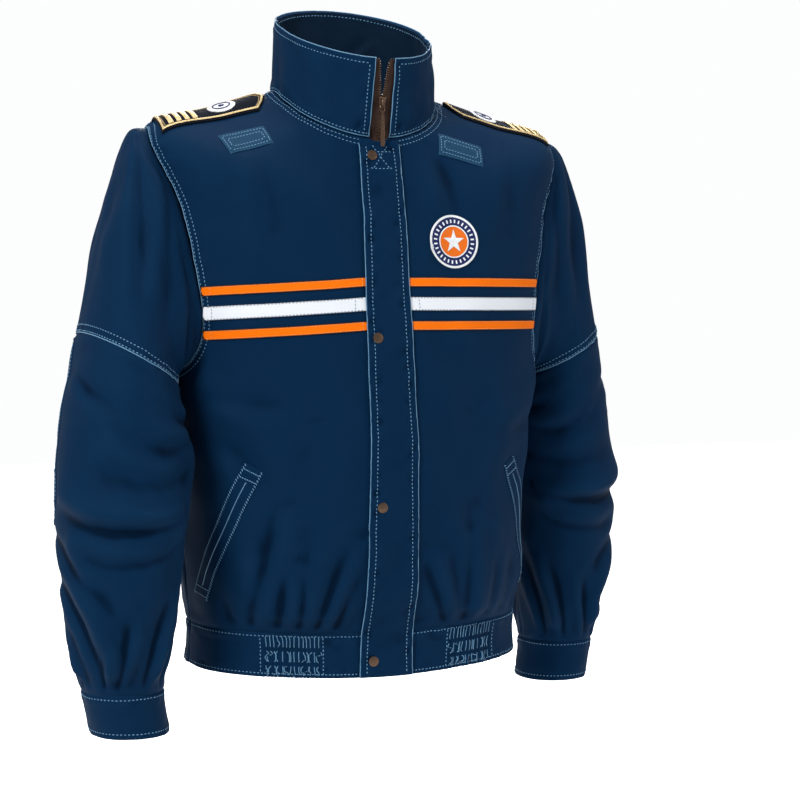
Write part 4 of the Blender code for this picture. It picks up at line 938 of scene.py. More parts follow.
def stitch_template():
    """One stitch, a small grain of thread lying along X, its ends going down into the cloth."""
    deselect()
    bpy.ops.mesh.primitive_uv_sphere_add(segments=6, ring_count=4, radius=STITCH_RADIUS)
    grain = bpy.context.object
    bpy.ops.object.mode_set(mode="EDIT")
    bpy.ops.mesh.select_all(action="SELECT")
    bpy.ops.transform.rotate(value=pi / 2, orient_axis="Y", center_override=(0, 0, 0))
    bpy.ops.transform.resize(value=(STITCH_LENGTH / STITCH_RADIUS / 2, 1, 0.85), center_override=(0, 0, 0))
    bpy.ops.object.mode_set(mode="OBJECT")
    points = np.array([vertex.co[:] for vertex in grain.data.vertices])
    points[:, 2] += 0.00012 - 0.00035 * (points[:, 0] / (STITCH_LENGTH / 2)) ** 2
    faces = [tuple(face.vertices) for face in grain.data.polygons]
    bpy.data.objects.remove(grain, do_unlink=True)
    return points, faces


def joined(name, parts, finish, smooth_angle=60):
    """Many small things as one mesh, from (points, faces) pairs."""
    points, faces, count = [], [], 0
    for part_points, part_faces in parts:
        points.append(part_points)
        faces.extend(tuple(index + count for index in face) for face in part_faces)
        count += len(part_points)
    mesh = bpy.data.meshes.new(name)
    mesh.from_pydata(np.concatenate(points).tolist(), [], faces)
    mesh.validate()
    made = bpy.data.objects.new(name, mesh)
    bpy.context.scene.collection.objects.link(made)
    mesh.materials.append(finish)
    deselect()
    made.select_set(True)
    bpy.context.view_layer.objects.active = made
    bpy.ops.object.mode_set(mode="EDIT")
    bpy.ops.mesh.select_all(action="SELECT")
    bpy.ops.mesh.normals_make_consistent(inside=False)
    bpy.ops.object.mode_set(mode="OBJECT")
    bpy.ops.object.shade_smooth_by_angle(angle=radians(smooth_angle))
    return made


def make_stitches():
    """Every noted row, a stitch at a time, joined by area."""
    points, faces = stitch_template()
    draw = np.random.default_rng(5)
    for name, rows in sewn.items():
        middles, along, normal, long = (np.concatenate([row[k] for row in rows]) for k in range(4))
        middles = seated(middles, normal, SEATS[name])
        across = unit(np.cross(normal, along))
        normal = np.cross(along, across)
        size = 1 + draw.normal(0, 0.05, len(middles))
        lean = draw.normal(0, 0.06, len(middles))
        along, across = along + lean[:, None] * across, across - lean[:, None] * along
        parts = []
        for k in range(len(middles)):
            turned = np.stack([along[k] * size[k] * long[k] / STITCH_LENGTH, across[k], normal[k]])
            parts.append((points @ turned + middles[k], faces))
        made = joined("stitches_" + name, parts, finishes[THREADS.get(name, "thread")])
        dress(made, None)


THREADS = {"tapes_orange": "thread_orange", "tapes_white": "thread_white", "boards": "thread_gold"}


def thread_tube(line, normal, radius, sides=5):
    """A cord of thread along a line, as points and faces."""
    along = unit(np.gradient(line, axis=0))
    across = unit(np.cross(normal, along))
    up = np.cross(along, across)
    turns = np.arange(sides) * tau / sides
    ring = across[:, None] * np.cos(turns)[None, :, None] + up[:, None] * np.sin(turns)[None, :, None]
    points = (line[:, None] + radius * ring).reshape(-1, 3)
    faces = []
    for k in range(len(line) - 1):
        for side in range(sides):
            after = (side + 1) % sides
            low, high = k * sides, (k + 1) * sides
            faces.append((low + side, low + after, high + after, high + side))
    faces.append(tuple(range(sides)))
    faces.append(tuple((len(line) - 1) * sides + side for side in range(sides)))
    return points, faces


# Lines of edge thread wait here, as the stitches do
edged_threads = {}


def edge_thread(mesh_name, surface, a, b, lift=0.0, radius=EDGE_THREAD, flip=False):
    here, _, _, normal = slopes(surface, np.asarray(a, float), np.asarray(b, float), lift)
    edged_threads.setdefault(mesh_name, []).append((here, -normal if flip else normal, radius))


def make_edge_threads():
    for name, lines in edged_threads.items():
        parts = [thread_tube(seated(line, normal, SEATS[name]), normal, radius) for line, normal, radius in lines]
        dress(joined("edge_thread_" + name, parts, finishes["thread"]), None)


# Materials


def add(tree, kind, inputs=None, **settings):
    """One node, its settings, and its inputs as values or as other nodes' outputs."""
    node = tree.nodes.new(kind)
    for name, value in settings.items():
        setattr(node, name, value)
    for name, value in (inputs or {}).items():
        if isinstance(value, bpy.types.NodeSocket):
            tree.links.new(value, node.inputs[name])
        else:
            node.inputs[name].default_value = value
    return node


def new_group(name, inputs, outputs):
    tree = bpy.data.node_groups.new(name, "ShaderNodeTree")
    for label, kind, start in inputs:
        socket = tree.interface.new_socket(name=label, in_out="INPUT", socket_type="NodeSocket" + kind)
        if start is not None:
            socket.default_value = start
    for label, kind in outputs:
        tree.interface.new_socket(name=label, in_out="OUTPUT", socket_type="NodeSocket" + kind)
    return tree, tree.nodes.new("NodeGroupInput"), tree.nodes.new("NodeGroupOutput")


def math_node(tree, operation, *values, clamp=False):
    node = add(tree, "ShaderNodeMath", operation=operation, use_clamp=clamp)
    for k, value in enumerate(values):
        if isinstance(value, bpy.types.NodeSocket):
            tree.links.new(value, node.inputs[k])
        else:
            node.inputs[k].default_value = value
    return node.outputs[0]


def mixed(tree, share, low, high):
    node = add(tree, "ShaderNodeMix", data_type="RGBA")
    for k, value in ((0, share), (6, low), (7, high)):
        if isinstance(value, bpy.types.NodeSocket):
            tree.links.new(value, node.inputs[k])
        else:
            node.inputs[k].default_value = value
    return node.outputs[2]


def weave_group():
    """Two sets of threads crossing over and under, with slubs, as a bump and a mask."""
    tree, start, end = new_group(
        "crossed threads",
        [("Place", "Vector", None), ("Threads per metre", "Float", 1200.0), ("Depth", "Float", 0.00006)],
        [("Normal", "Vector"), ("Mask", "Float")],
    )
    scaled = add(tree, "ShaderNodeVectorMath", {0: start.outputs["Place"]}, operation="SCALE")
    tree.links.new(start.outputs["Threads per metre"], scaled.inputs["Scale"])
    loose = add(tree, "ShaderNodeTexNoise", {"Vector": start.outputs["Place"], "Scale": 160.0, "Detail": 2.0})
    split = add(tree, "ShaderNodeSeparateXYZ", {0: scaled.outputs[0]})
    wander = math_node(tree, "MULTIPLY", loose.outputs[0], 1.4)
    waves = []
    for axis in (0, 1):
        moved = math_node(tree, "ADD", split.outputs[axis], wander)
        waves.append(math_node(tree, "SINE", math_node(tree, "MULTIPLY", moved, pi)))
    over = math_node(tree, "MULTIPLY", waves[0], waves[1])
    height = math_node(tree, "MULTIPLY_ADD", over, 0.5, 0.5)
    slub = math_node(tree, "MULTIPLY_ADD", loose.outputs[0], 0.6, height)
    bump = add(tree, "ShaderNodeBump", {"Height": slub, "Strength": 0.9})
    tree.links.new(start.outputs["Depth"], bump.inputs["Distance"])
    tree.links.new(bump.outputs[0], end.inputs["Normal"])
    tree.links.new(height, end.inputs["Mask"])
    return tree


def dye_group():
    """Uneven dye: broad clouds, a finer mottle and rare paler fibres."""
    tree, start, end = new_group(
        "uneven dye",
        [
            ("Place", "Vector", None), ("Colour", "Color", (0.5, 0.5, 0.5, 1)), ("Pale", "Color", (0.7, 0.7, 0.7, 1)),
            ("Amount", "Float", 0.2),
        ],
        [("Colour", "Color"), ("Mask", "Float")],
    )
    clouds = add(tree, "ShaderNodeTexNoise", {"Vector": start.outputs["Place"], "Scale": 7.0, "Detail": 3.0})
    mottle = add(tree, "ShaderNodeTexNoise", {"Vector": start.outputs["Place"], "Scale": 420.0, "Detail": 2.0})
    fibres = add(
        tree, "ShaderNodeTexVoronoi", {"Vector": start.outputs["Place"], "Scale": 260.0}, feature="DISTANCE_TO_EDGE"
    )
    both = math_node(tree, "MULTIPLY_ADD", mottle.outputs[0], 0.55, math_node(tree, "MULTIPLY", clouds.outputs[0], 0.75))
    share = math_node(tree, "MULTIPLY", both, start.outputs["Amount"], clamp=True)
    pale = math_node(tree, "LESS_THAN", fibres.outputs[0], 0.006)
    share = math_node(tree, "MULTIPLY_ADD", pale, 0.5, share)
    lifted = mixed(tree, share, start.outputs["Colour"], start.outputs["Pale"])
    tree.links.new(lifted, end.inputs["Colour"])
    tree.links.new(both, end.inputs["Mask"])
    return tree


def wear_and_painted_light_group():
    """Cloth rubbed along its edges, in patches; the crests of folds lighter in the same patches, partly rubbed wear and
    partly painted highlight; and painted shade in the troughs of folds.
    """
    tree, start, end = new_group(
        "rubbed places",
        [("Place", "Vector", None), ("Edge", "Float", 0.05), ("Crest", "Float", 0.0), ("Reach", "Float", 0.0015)],
        [("Mask", "Float"), ("Painted trough shade", "Float")],
    )
    patches = add(tree, "ShaderNodeTexNoise", {"Vector": start.outputs["Place"], "Scale": 38.0, "Detail": 4.0})
    near = math_node(tree, "SUBTRACT", 1.0, math_node(tree, "DIVIDE", start.outputs["Edge"], start.outputs["Reach"]), clamp=True)
    # Crests of folds: partly rubbed wear, partly painted highlight
    crest = math_node(tree, "MULTIPLY", math_node(tree, "MAXIMUM", start.outputs["Crest"], 0.0), 0.55)
    rubbed_and_lit = math_node(tree, "MAXIMUM", near, crest)
    mask = math_node(tree, "MULTIPLY", rubbed_and_lit, math_node(tree, "MULTIPLY_ADD", patches.outputs[0], 1.2, 0.1), clamp=True)
    # Painted shade in the troughs of folds, where the crest measure is below zero
    painted_trough_shade = math_node(tree, "MULTIPLY_ADD", start.outputs["Crest"], -1.6, -0.12, clamp=True)
    tree.links.new(mask, end.inputs["Mask"])
    tree.links.new(painted_trough_shade, end.inputs["Painted trough shade"])
    return tree


def satin_group():
    """Rows of satin stitch, side by side, each a little rounded."""
    tree, start, end = new_group(
        "satin stitch",
        [("Place", "Vector", None), ("Rows per metre", "Float", 2200.0)],
        [("Normal", "Vector"), ("Mask", "Float")],
    )
    split = add(tree, "ShaderNodeSeparateXYZ", {0: start.outputs["Place"]})
    loose = add(tree, "ShaderNodeTexNoise", {"Vector": start.outputs["Place"], "Scale": 300.0, "Detail": 2.0})
    slant = math_node(tree, "MULTIPLY_ADD", split.outputs[1], 0.35, split.outputs[0])
    rows = math_node(tree, "MULTIPLY", slant, start.outputs["Rows per metre"])
    rows = math_node(tree, "MULTIPLY_ADD", loose.outputs[0], 0.8, rows)
    round_row = math_node(tree, "ABSOLUTE", math_node(tree, "SINE", math_node(tree, "MULTIPLY", rows, pi)))
    bump = add(tree, "ShaderNodeBump", {"Height": round_row, "Strength": 0.8, "Distance": 0.00018})
    tree.links.new(bump.outputs[0], end.inputs["Normal"])
    tree.links.new(round_row, end.inputs["Mask"])
    return tree


def metal_group():
    """Aged metal: worn bright in patches, dark and rough between, with fine scratches."""
    tree, start, end = new_group(
        "aged metal",
        [("Place", "Vector", None), ("Dark", "Color", (0.05, 0.03, 0.02, 1)), ("Bright", "Color", (0.4, 0.3, 0.2, 1))],
        [("Colour", "Color"), ("Roughness", "Float"), ("Normal", "Vector")],
    )
    patches = add(tree, "ShaderNodeTexNoise", {"Vector": start.outputs["Place"], "Scale": 900.0, "Detail": 5.0})
    scratches = add(
        tree, "ShaderNodeTexNoise", {"Vector": start.outputs["Place"], "Scale": 1900.0, "Detail": 2.0, "Distortion": 1.5}
    )
    share = math_node(tree, "MULTIPLY_ADD", patches.outputs[0], 1.1, -0.2, clamp=True)
    tree.links.new(mixed(tree, share, start.outputs["Dark"], start.outputs["Bright"]), end.inputs["Colour"])
    tree.links.new(math_node(tree, "MULTIPLY_ADD", patches.outputs[0], -0.35, 0.55), end.inputs["Roughness"])
    bump = add(tree, "ShaderNodeBump", {"Height": scratches.outputs[0], "Strength": 0.5, "Distance": 0.00004})
    tree.links.new(bump.outputs[0], end.inputs["Normal"])
    return tree


def new_material(name):
    made = bpy.data.materials.new(name)
    made.use_nodes = True
    tree = made.node_tree
    return made, tree, tree.nodes["Principled BSDF"]


def places(tree):
    """Object coordinates, the piece's own UV map, and its edge and crest attributes."""
    texture = add(tree, "ShaderNodeTexCoord")
    edge = add(tree, "ShaderNodeAttribute", attribute_name="edge")
    crest = add(tree, "ShaderNodeAttribute", attribute_name="crest")
    return texture.outputs["Object"], texture.outputs["UV"], edge.outputs["Fac"], crest.outputs["Fac"]


def cloth_material(
    name, colour, rubbed_and_lit, roughness=0.62, sheen=0.03, tint=(0.25, 0.4, 0.6, 1), threads=1150.0, depth=6e-5,
    dye=0.5, wear_and_painted_light=0.35, reach=0.0015, outline=None, strip=None, shade=0.75,
    gloss=0.05,
):
    """Woven cloth: threads, uneven dye, rubbed edges, crests lighter as rubbed wear and painted highlight, painted
    shade in troughs and between threads, and a nap's sheen.
    """
    made, tree, shader = new_material(name)
    place, spread, edge, crest = places(tree)
    weave = add(tree, "ShaderNodeGroup", node_tree=groups["weave"])
    tree.links.new(spread, weave.inputs["Place"])
    weave.inputs["Threads per metre"].default_value = threads
    weave.inputs["Depth"].default_value = depth
    dyed = add(tree, "ShaderNodeGroup", node_tree=groups["dye"])
    tree.links.new(place, dyed.inputs["Place"])
    dyed.inputs["Colour"].default_value = (*colour, 1)
    dyed.inputs["Pale"].default_value = (*(channel + (toned - channel) * 0.35 for channel, toned in zip(colour, rubbed_and_lit)), 1)
    dyed.inputs["Amount"].default_value = dye
    wear_and_light_marks = add(tree, "ShaderNodeGroup", node_tree=groups["wear_and_painted_light"])
    for source, label in ((place, "Place"), (edge, "Edge"), (crest, "Crest")):
        tree.links.new(source, wear_and_light_marks.inputs[label])
    wear_and_light_marks.inputs["Reach"].default_value = reach
    # Rubbed edges lighter, as wear; crests of folds lighter, partly as wear and partly as painted highlight
    share = math_node(tree, "MULTIPLY", wear_and_light_marks.outputs["Mask"], wear_and_painted_light)
    base = mixed(tree, share, dyed.outputs["Colour"], (*rubbed_and_lit, 1))
    # Painted shade: between the threads of the weave and in the troughs of folds, the colour mixed towards a darker
    # copy of itself
    shade_between_threads = math_node(tree, "MULTIPLY_ADD", weave.outputs["Mask"], -0.22, 0.22)
    painted_shade_share = math_node(tree, "MULTIPLY_ADD", wear_and_light_marks.outputs["Painted trough shade"], shade, shade_between_threads, clamp=True)
    dark = tuple(channel * 0.35 for channel in colour)
    base = mixed(tree, painted_shade_share, base, (*dark, 1))
    if strip:
        shoulder = add(tree, "ShaderNodeAttribute", attribute_name="strip").outputs["Fac"]
        base = mixed(tree, math_node(tree, "LESS_THAN", shoulder, SHOULDER_STRIP), base, (*strip, 1))
    if outline:
        rim = math_node(tree, "LESS_THAN", edge, 0.0008)
        base = mixed(tree, rim, base, (*outline, 1))
    tree.links.new(base, shader.inputs["Base Color"])
    tree.links.new(weave.outputs["Normal"], shader.inputs["Normal"])
    rough = math_node(tree, "MULTIPLY_ADD", dyed.outputs["Mask"], 0.10, roughness - 0.06)
    tree.links.new(rough, shader.inputs["Roughness"])
    shader.inputs["Sheen Weight"].default_value = sheen
    shader.inputs["Sheen Roughness"].default_value = 0.45
    shader.inputs["Sheen Tint"].default_value = tint
    shader.inputs["Specular IOR Level"].default_value = gloss
    shader.inputs["Specular Tint"].default_value = tint
    return made


def satin_material(name, colour, dark, roughness=0.60, rows=2200.0, metallic=0.0, sheen=0.03):
    """Embroidery thread in rows."""
    made, tree, shader = new_material(name)
    place, spread, _, _ = places(tree)
    satin = add(tree, "ShaderNodeGroup", node_tree=groups["satin"])
    tree.links.new(spread, satin.inputs["Place"])
    satin.inputs["Rows per metre"].default_value = rows
    dyed = add(tree, "ShaderNodeGroup", node_tree=groups["dye"])
    tree.links.new(place, dyed.inputs["Place"])
    dyed.inputs["Colour"].default_value = (*colour, 1)
    dyed.inputs["Pale"].default_value = (*(min(1, channel * 1.3) for channel in colour), 1)
    dyed.inputs["Amount"].default_value = 0.5
    # Painted shade: the colour darker in the valleys between the rows of satin stitch
    base = mixed(tree, math_node(tree, "MULTIPLY_ADD", satin.outputs["Mask"], -0.5, 0.5), dyed.outputs["Colour"], (*dark, 1))
    tree.links.new(base, shader.inputs["Base Color"])
    tree.links.new(satin.outputs["Normal"], shader.inputs["Normal"])
    rough = math_node(tree, "MULTIPLY_ADD", dyed.outputs["Mask"], 0.12, roughness - 0.05)
    tree.links.new(rough, shader.inputs["Roughness"])
    shader.inputs["Metallic"].default_value = metallic
    shader.inputs["Sheen Weight"].default_value = sheen
    shader.inputs["Specular IOR Level"].default_value = 0.2
    return made


def thread_material(name, colour, dark):
    """Sewing thread: a fine mottle along the twist and a soft lustre."""
    made, tree, shader = new_material(name)
    place = places(tree)[0]
    twist = add(tree, "ShaderNodeTexNoise", {"Vector": place, "Scale": 1800.0, "Detail": 2.0})
    clouds = add(tree, "ShaderNodeTexNoise", {"Vector": place, "Scale": 45.0, "Detail": 2.0})
    both = math_node(tree, "MULTIPLY_ADD", twist.outputs[0], 0.7, math_node(tree, "MULTIPLY", clouds.outputs[0], 0.4))
    base = mixed(tree, math_node(tree, "MULTIPLY_ADD", both, 1.6, -0.4, clamp=True), (*colour, 1), (*dark, 1))
    bump = add(tree, "ShaderNodeBump", {"Height": twist.outputs[0], "Strength": 0.6, "Distance": 0.0001})
    tree.links.new(base, shader.inputs["Base Color"])
    tree.links.new(bump.outputs[0], shader.inputs["Normal"])
    rough = math_node(tree, "MULTIPLY_ADD", both, 0.2, 0.42)
    tree.links.new(rough, shader.inputs["Roughness"])
    shader.inputs["Sheen Weight"].default_value = 0.15
    return made


def metal_material(name, dark, bright):
    made, tree, shader = new_material(name)
    place = places(tree)[0]
    aged = add(tree, "ShaderNodeGroup", node_tree=groups["metal"])
    tree.links.new(place, aged.inputs["Place"])
    aged.inputs["Dark"].default_value = (*dark, 1)
    aged.inputs["Bright"].default_value = (*bright, 1)
    tree.links.new(aged.outputs["Colour"], shader.inputs["Base Color"])
    tree.links.new(aged.outputs["Roughness"], shader.inputs["Roughness"])
    tree.links.new(aged.outputs["Normal"], shader.inputs["Normal"])
    shader.inputs["Metallic"].default_value = 0.9
    return made


NAVY = (0.0016, 0.0150, 0.0460)
ORANGE = (0.95, 0.165, 0.002)

groups = {
    "weave": weave_group(),
    "dye": dye_group(),
    "wear_and_painted_light": wear_and_painted_light_group(),
    "satin": satin_group(),
    "metal": metal_group(),
}
finishes = {
    "navy": cloth_material("navy softshell", NAVY, (0.010, 0.050, 0.115), depth=5e-5),
    "lining": cloth_material("navy fleece lining", (0.0035, 0.012, 0.028), (0.010, 0.03, 0.06), threads=700.0, depth=1.6e-4,
                             sheen=0.12, wear_and_painted_light=0.2),
    "orange": cloth_material("orange softshell", ORANGE, (1.0, 0.27, 0.03), sheen=0.02, tint=(1.0, 0.6, 0.3, 1), strip=NAVY,
                             shade=0.25),
    "orange_tape": cloth_material("orange woven tape", ORANGE, (1.0, 0.26, 0.03), roughness=0.60, sheen=0.02,
                                  tint=(1.0, 0.6, 0.3, 1), threads=1500.0, outline=(0.05, 0.02, 0.01), shade=0.3),
    "white_tape": cloth_material("white reflective tape", (0.80, 0.83, 0.87), (0.92, 0.93, 0.95), roughness=0.42, sheen=0.05,
                                 tint=(1, 1, 1, 1), threads=1700.0, depth=4e-5, outline=(0.02, 0.035, 0.06),
                                 shade=0.25),
    "loop": cloth_material("blue loop cloth", (0.010, 0.042, 0.090), (0.04, 0.12, 0.20), threads=900.0, depth=9e-5),
    "board": cloth_material("black felt", (0.0042, 0.0050, 0.0085), (0.02, 0.022, 0.03), roughness=0.92, sheen=0.10,
                            tint=(0.4, 0.45, 0.55, 1), threads=520.0, depth=1.4e-4),
    "zip_tape": cloth_material("brown zip tape", (0.045, 0.026, 0.020), (0.10, 0.06, 0.045), roughness=0.7, sheen=0.1,
                               threads=1300.0),
    "thread": thread_material("steel blue thread", (0.13, 0.30, 0.47), (0.040, 0.14, 0.25)),
    "thread_orange": thread_material("orange thread", (0.95, 0.30, 0.05), (0.55, 0.11, 0.01)),
    "thread_white": thread_material("grey thread", (0.45, 0.48, 0.52), (0.16, 0.19, 0.24)),
    "thread_gold": thread_material("gold thread", (0.72, 0.52, 0.24), (0.33, 0.20, 0.07)),
    "gold": satin_material("gold braid", (0.80, 0.60, 0.30), (0.35, 0.22, 0.08), roughness=0.38, rows=1300.0, metallic=0.35),
    "disc": satin_material("white embroidery", (0.90, 0.92, 0.94), (0.60, 0.63, 0.68)),
    "badge_navy": satin_material("navy embroidery", (0.004, 0.012, 0.095), (0.002, 0.005, 0.040)),
    "badge_orange": satin_material("orange embroidery", (0.93, 0.17, 0.004), (0.50, 0.07, 0.002)),
    "bronze": metal_material("dark bronze", (0.050, 0.030, 0.022), (0.30, 0.19, 0.12)),
    "silver": metal_material("worn nickel", (0.16, 0.15, 0.14), (0.62, 0.60, 0.56)),
}


# Panels of the body


def armhole_rounds(start, end):
    """Places round the armhole from start to end, evenly spaced along its seam."""
    dense = np.linspace(start, end, 500)
    seam = body_base(*armhole(1, dense))
    run = np.concatenate([[0], np.cumsum(np.linalg.norm(np.diff(seam, axis=0), axis=1))])
    return np.interp(np.linspace(0, run[-1], cells(run[-1]) + 1), run, dense)


def body_inside(points):
    return points * [0.2, 0.2, 1] - [0, 0, 0.10]


def side_levels():
    """Levels up the side seam, with fine steps at the hem seam."""
    tall = TORSO[UNDERARM].side_z - TORSO[HEM_SEAM].side_z
    z = TORSO[HEM_SEAM].side_z + tall * edged(tall, last=False)
    return np.concatenate([[HEM_SEAM], level_at(pi / 2, z[1:-1]), [UNDERARM]])


def shoulder_levels():
    return SHOULDER_TIP + (NECK - SHOULDER_TIP) * edged(0.145, first=False)


def line_of(points, rows, columns):
    return points[rows, columns].reshape(-1, 3)


def front_panel(side_name, side):
    low, high = side_levels(), shoulder_levels()
    rounds = armhole_rounds(-pi / 2, pi / 2)
    arm_turn, arm_level = armhole(1, rounds)
    edge_level = np.concatenate([low, arm_level[1:-1], high])
    edge_turn = np.concatenate([side_turn(low), arm_turn[1:-1], side_turn(high)])
    rows = len(edge_level)
    tall = TORSO[NECK].front_z - TORSO[HEM_SEAM].front_z
    middle = level_at(0.0, TORSO[HEM_SEAM].front_z + tall * rows_like(tall, rows))
    middle[[0, -1]] = HEM_SEAM, NECK
    share = edged(0.27)
    blend = smooth((share - 0.30) / 0.70)
    level = middle[:, None] * (1 - blend) + edge_level[:, None] * blend
    start = front_turn(middle)
    turn = start[:, None] + (edge_turn - start)[:, None] * share
    points = body(side * turn, level)
    first, last = len(low) - 1, len(low) + len(rounds) - 3
    edges = [
        Edge(points[0], "seam", ()),
        Edge(points[-1], "seam", (0.0035, 0.0085)),
        Edge(points[:, 0], "fold", ()),
        Edge(points[: first + 1, -1], "seam", ()),
        Edge(points[first : last + 2, -1], "seam", (0.0035, 0.0090)),
        Edge(points[last + 1 :, -1], "seam", (0.0035,)),
    ]
    cloth(
        "cloth_front_" + side_name, points, body_inside(points), CLOTH, finishes["navy"],
        "front_" + side_name, edges, seed=31 + side,
    )
    dense = armhole_rounds(-pi / 2, pi / 2)
    seam_turn, seam_level = armhole(side, dense)
    inward = (0 * seam_turn - side, 0 * seam_level)
    centre = (seam_turn - side * pi / 2, (seam_level - 6.5) * 0.1)
    for away in (0.0035, 0.0090):
        sew("body_front", BODY, *beside(BODY, seam_turn, seam_level, away, centre), trim=(0.006, 0.004))
    edge_thread("body_front", BODY, *beside(BODY, seam_turn, seam_level, 0.0018, centre), radius=0.0006)
    top = np.linspace(0.10, side_turn(NECK) - 0.02, 90) * side
    for away in (0.0035, 0.0085):
        sew("body_front", BODY, *beside(BODY, top, NECK - 0.004 + 0 * top, away, (0 * top, 0 * top - 1)), trim=(0.004, 0.0))
    ridge = np.linspace(SHOULDER_TIP + 0.03, NECK - 0.05, 60)
    sew("body_front", BODY, *beside(BODY, side * side_turn(ridge), ridge, 0.0035, (inward[0][:60], 0 * ridge)))


def back_edges(start_round, end_round):
    return armhole(1, armhole_rounds(start_round, end_round))


def back_grid(edge_turn, edge_level, share):
    return edge_turn[:, None] + (tau - 2 * edge_turn)[:, None] * share


def back_pieces():
    seam_turn, seam_level = armhole(1, np.array([YOKE_ROUND]))
    seam_z = body_base(seam_turn, seam_level)[0, 2]
    share = edged(0.52)
    blend = smooth((np.abs(2 * share - 1) - 0.25) / 0.75)
    across = seam_turn + (tau - 2 * seam_turn) * share
    yoke = level_at(across, seam_z - YOKE_SAG * np.sin(pi * share))
    yoke[[0, -1]] = seam_level
    centre = yoke[len(share) // 2]

    low = side_levels()
    arm_turn, arm_level = back_edges(-pi / 2, YOKE_ROUND)
    edge_level = np.concatenate([low, arm_level[1:]])
    edge_turn = np.concatenate([side_turn(low), arm_turn[1:]])
    hem_z = TORSO[HEM_SEAM].back_z
    tall = body_base(pi, centre)[2] - hem_z
    part = (level_at(pi, hem_z + tall * rows_like(tall, len(edge_level))) - HEM_SEAM) / (centre - HEM_SEAM)
    part[[0, -1]] = 0, 1
    inner = HEM_SEAM + (yoke - HEM_SEAM) * part[:, None]
    outer = HEM_SEAM + (edge_level - HEM_SEAM)[:, None] * (yoke - HEM_SEAM) / (seam_level - HEM_SEAM)
    level = inner * (1 - blend) + outer * blend
    points = body(back_grid(edge_turn, edge_level, share), level)
    first = len(low) - 1
    edges = [Edge(points[0], "seam", ()), Edge(points[-1], "seam", (0.0035, 0.0085))]
    for column_at in (0, -1):
        edges.append(Edge(points[: first + 1, column_at], "seam", ()))
        edges.append(Edge(points[first:, column_at], "seam", (0.0035, 0.0090)))
    cloth(
        "cloth_back_panel", points, body_inside(points), CLOTH, finishes["navy"], "back_panel",
        edges, seed=41,
    )

    high = shoulder_levels()
    arm_turn, arm_level = back_edges(YOKE_ROUND, -3 * pi / 2)
    edge_level = np.concatenate([arm_level[:-1], high])
    edge_turn = np.concatenate([arm_turn[:-1], side_turn(high)])
    base_z = body_base(pi, centre)[2]
    tall = TORSO[NECK].back_z - base_z
    part = (level_at(pi, base_z + tall * rows_like(tall, len(edge_level))) - centre) / (NECK - centre)
    part[[0, -1]] = 0, 1
    inner = yoke + (NECK - yoke) * part[:, None]
    outer = NECK - (NECK - edge_level)[:, None] * (NECK - yoke) / (NECK - seam_level)
    level = inner * (1 - blend) + outer * blend
    points = body(back_grid(edge_turn, edge_level, share), level)
    last = len(arm_level) - 1
    edges = [Edge(points[0], "seam", (0.0030,)), Edge(points[-1], "seam", (0.0035,))]
    for column_at in (0, -1):
        edges.append(Edge(points[: last + 1, column_at], "seam", (0.0035, 0.0090)))
        edges.append(Edge(points[last:, column_at], "seam", (0.0035,)))
    cloth(
        "cloth_back_yoke", points, body_inside(points), CLOTH, finishes["orange"], "back_yoke",
        edges, seed=42,
        strip=np.minimum(distance_to(points, points[last:, 0]), distance_to(points, points[last:, -1])),
    )

    for side in (-1, 1):
        dense = armhole_rounds(-pi / 2, -3 * pi / 2)
        back_turn, back_level = armhole(side, dense)
        centre_way = (back_turn - side * pi / 2, (back_level - 6.5) * 0.1)
        for away in (0.0035, 0.0090):
            sew("body_back", BODY, *beside(BODY, back_turn, back_level, away, centre_way), trim=(0.006, 0.004))
        edge_thread("body_back", BODY, *beside(BODY, back_turn, back_level, 0.0018, centre_way), radius=0.0006)
        ridge = np.linspace(SHOULDER_TIP + 0.03, NECK - 0.05, 60)
        for away in (0.0035, SHOULDER_STRIP - 0.0015):
            sew("body_back", BODY, *beside(BODY, side * side_turn(ridge), ridge, away, (0 * ridge + side, 0 * ridge)))
    for away, way in ((0.0035, -1), (0.0085, -1), (0.0030, 1)):
        sew("body_back", BODY, *beside(BODY, across, yoke, away, (0 * across, 0 * across + way)), trim=(0.004, 0.004))
    top = np.linspace(side_turn(NECK) + 0.02, tau - side_turn(NECK) - 0.02, 160)
    sew("body_back", BODY, *beside(BODY, top, NECK - 0.004 + 0 * top, 0.0035, (0 * top, 0 * top - 1)))


# Sleeves and cuffs


def sleeve_inside(side, rounds, stations):
    ends = (sleeve_oval(side, quarter + 0 * (rounds + stations), stations) for quarter in (-pi / 2, pi / 2))
    return sum(ends) / 2


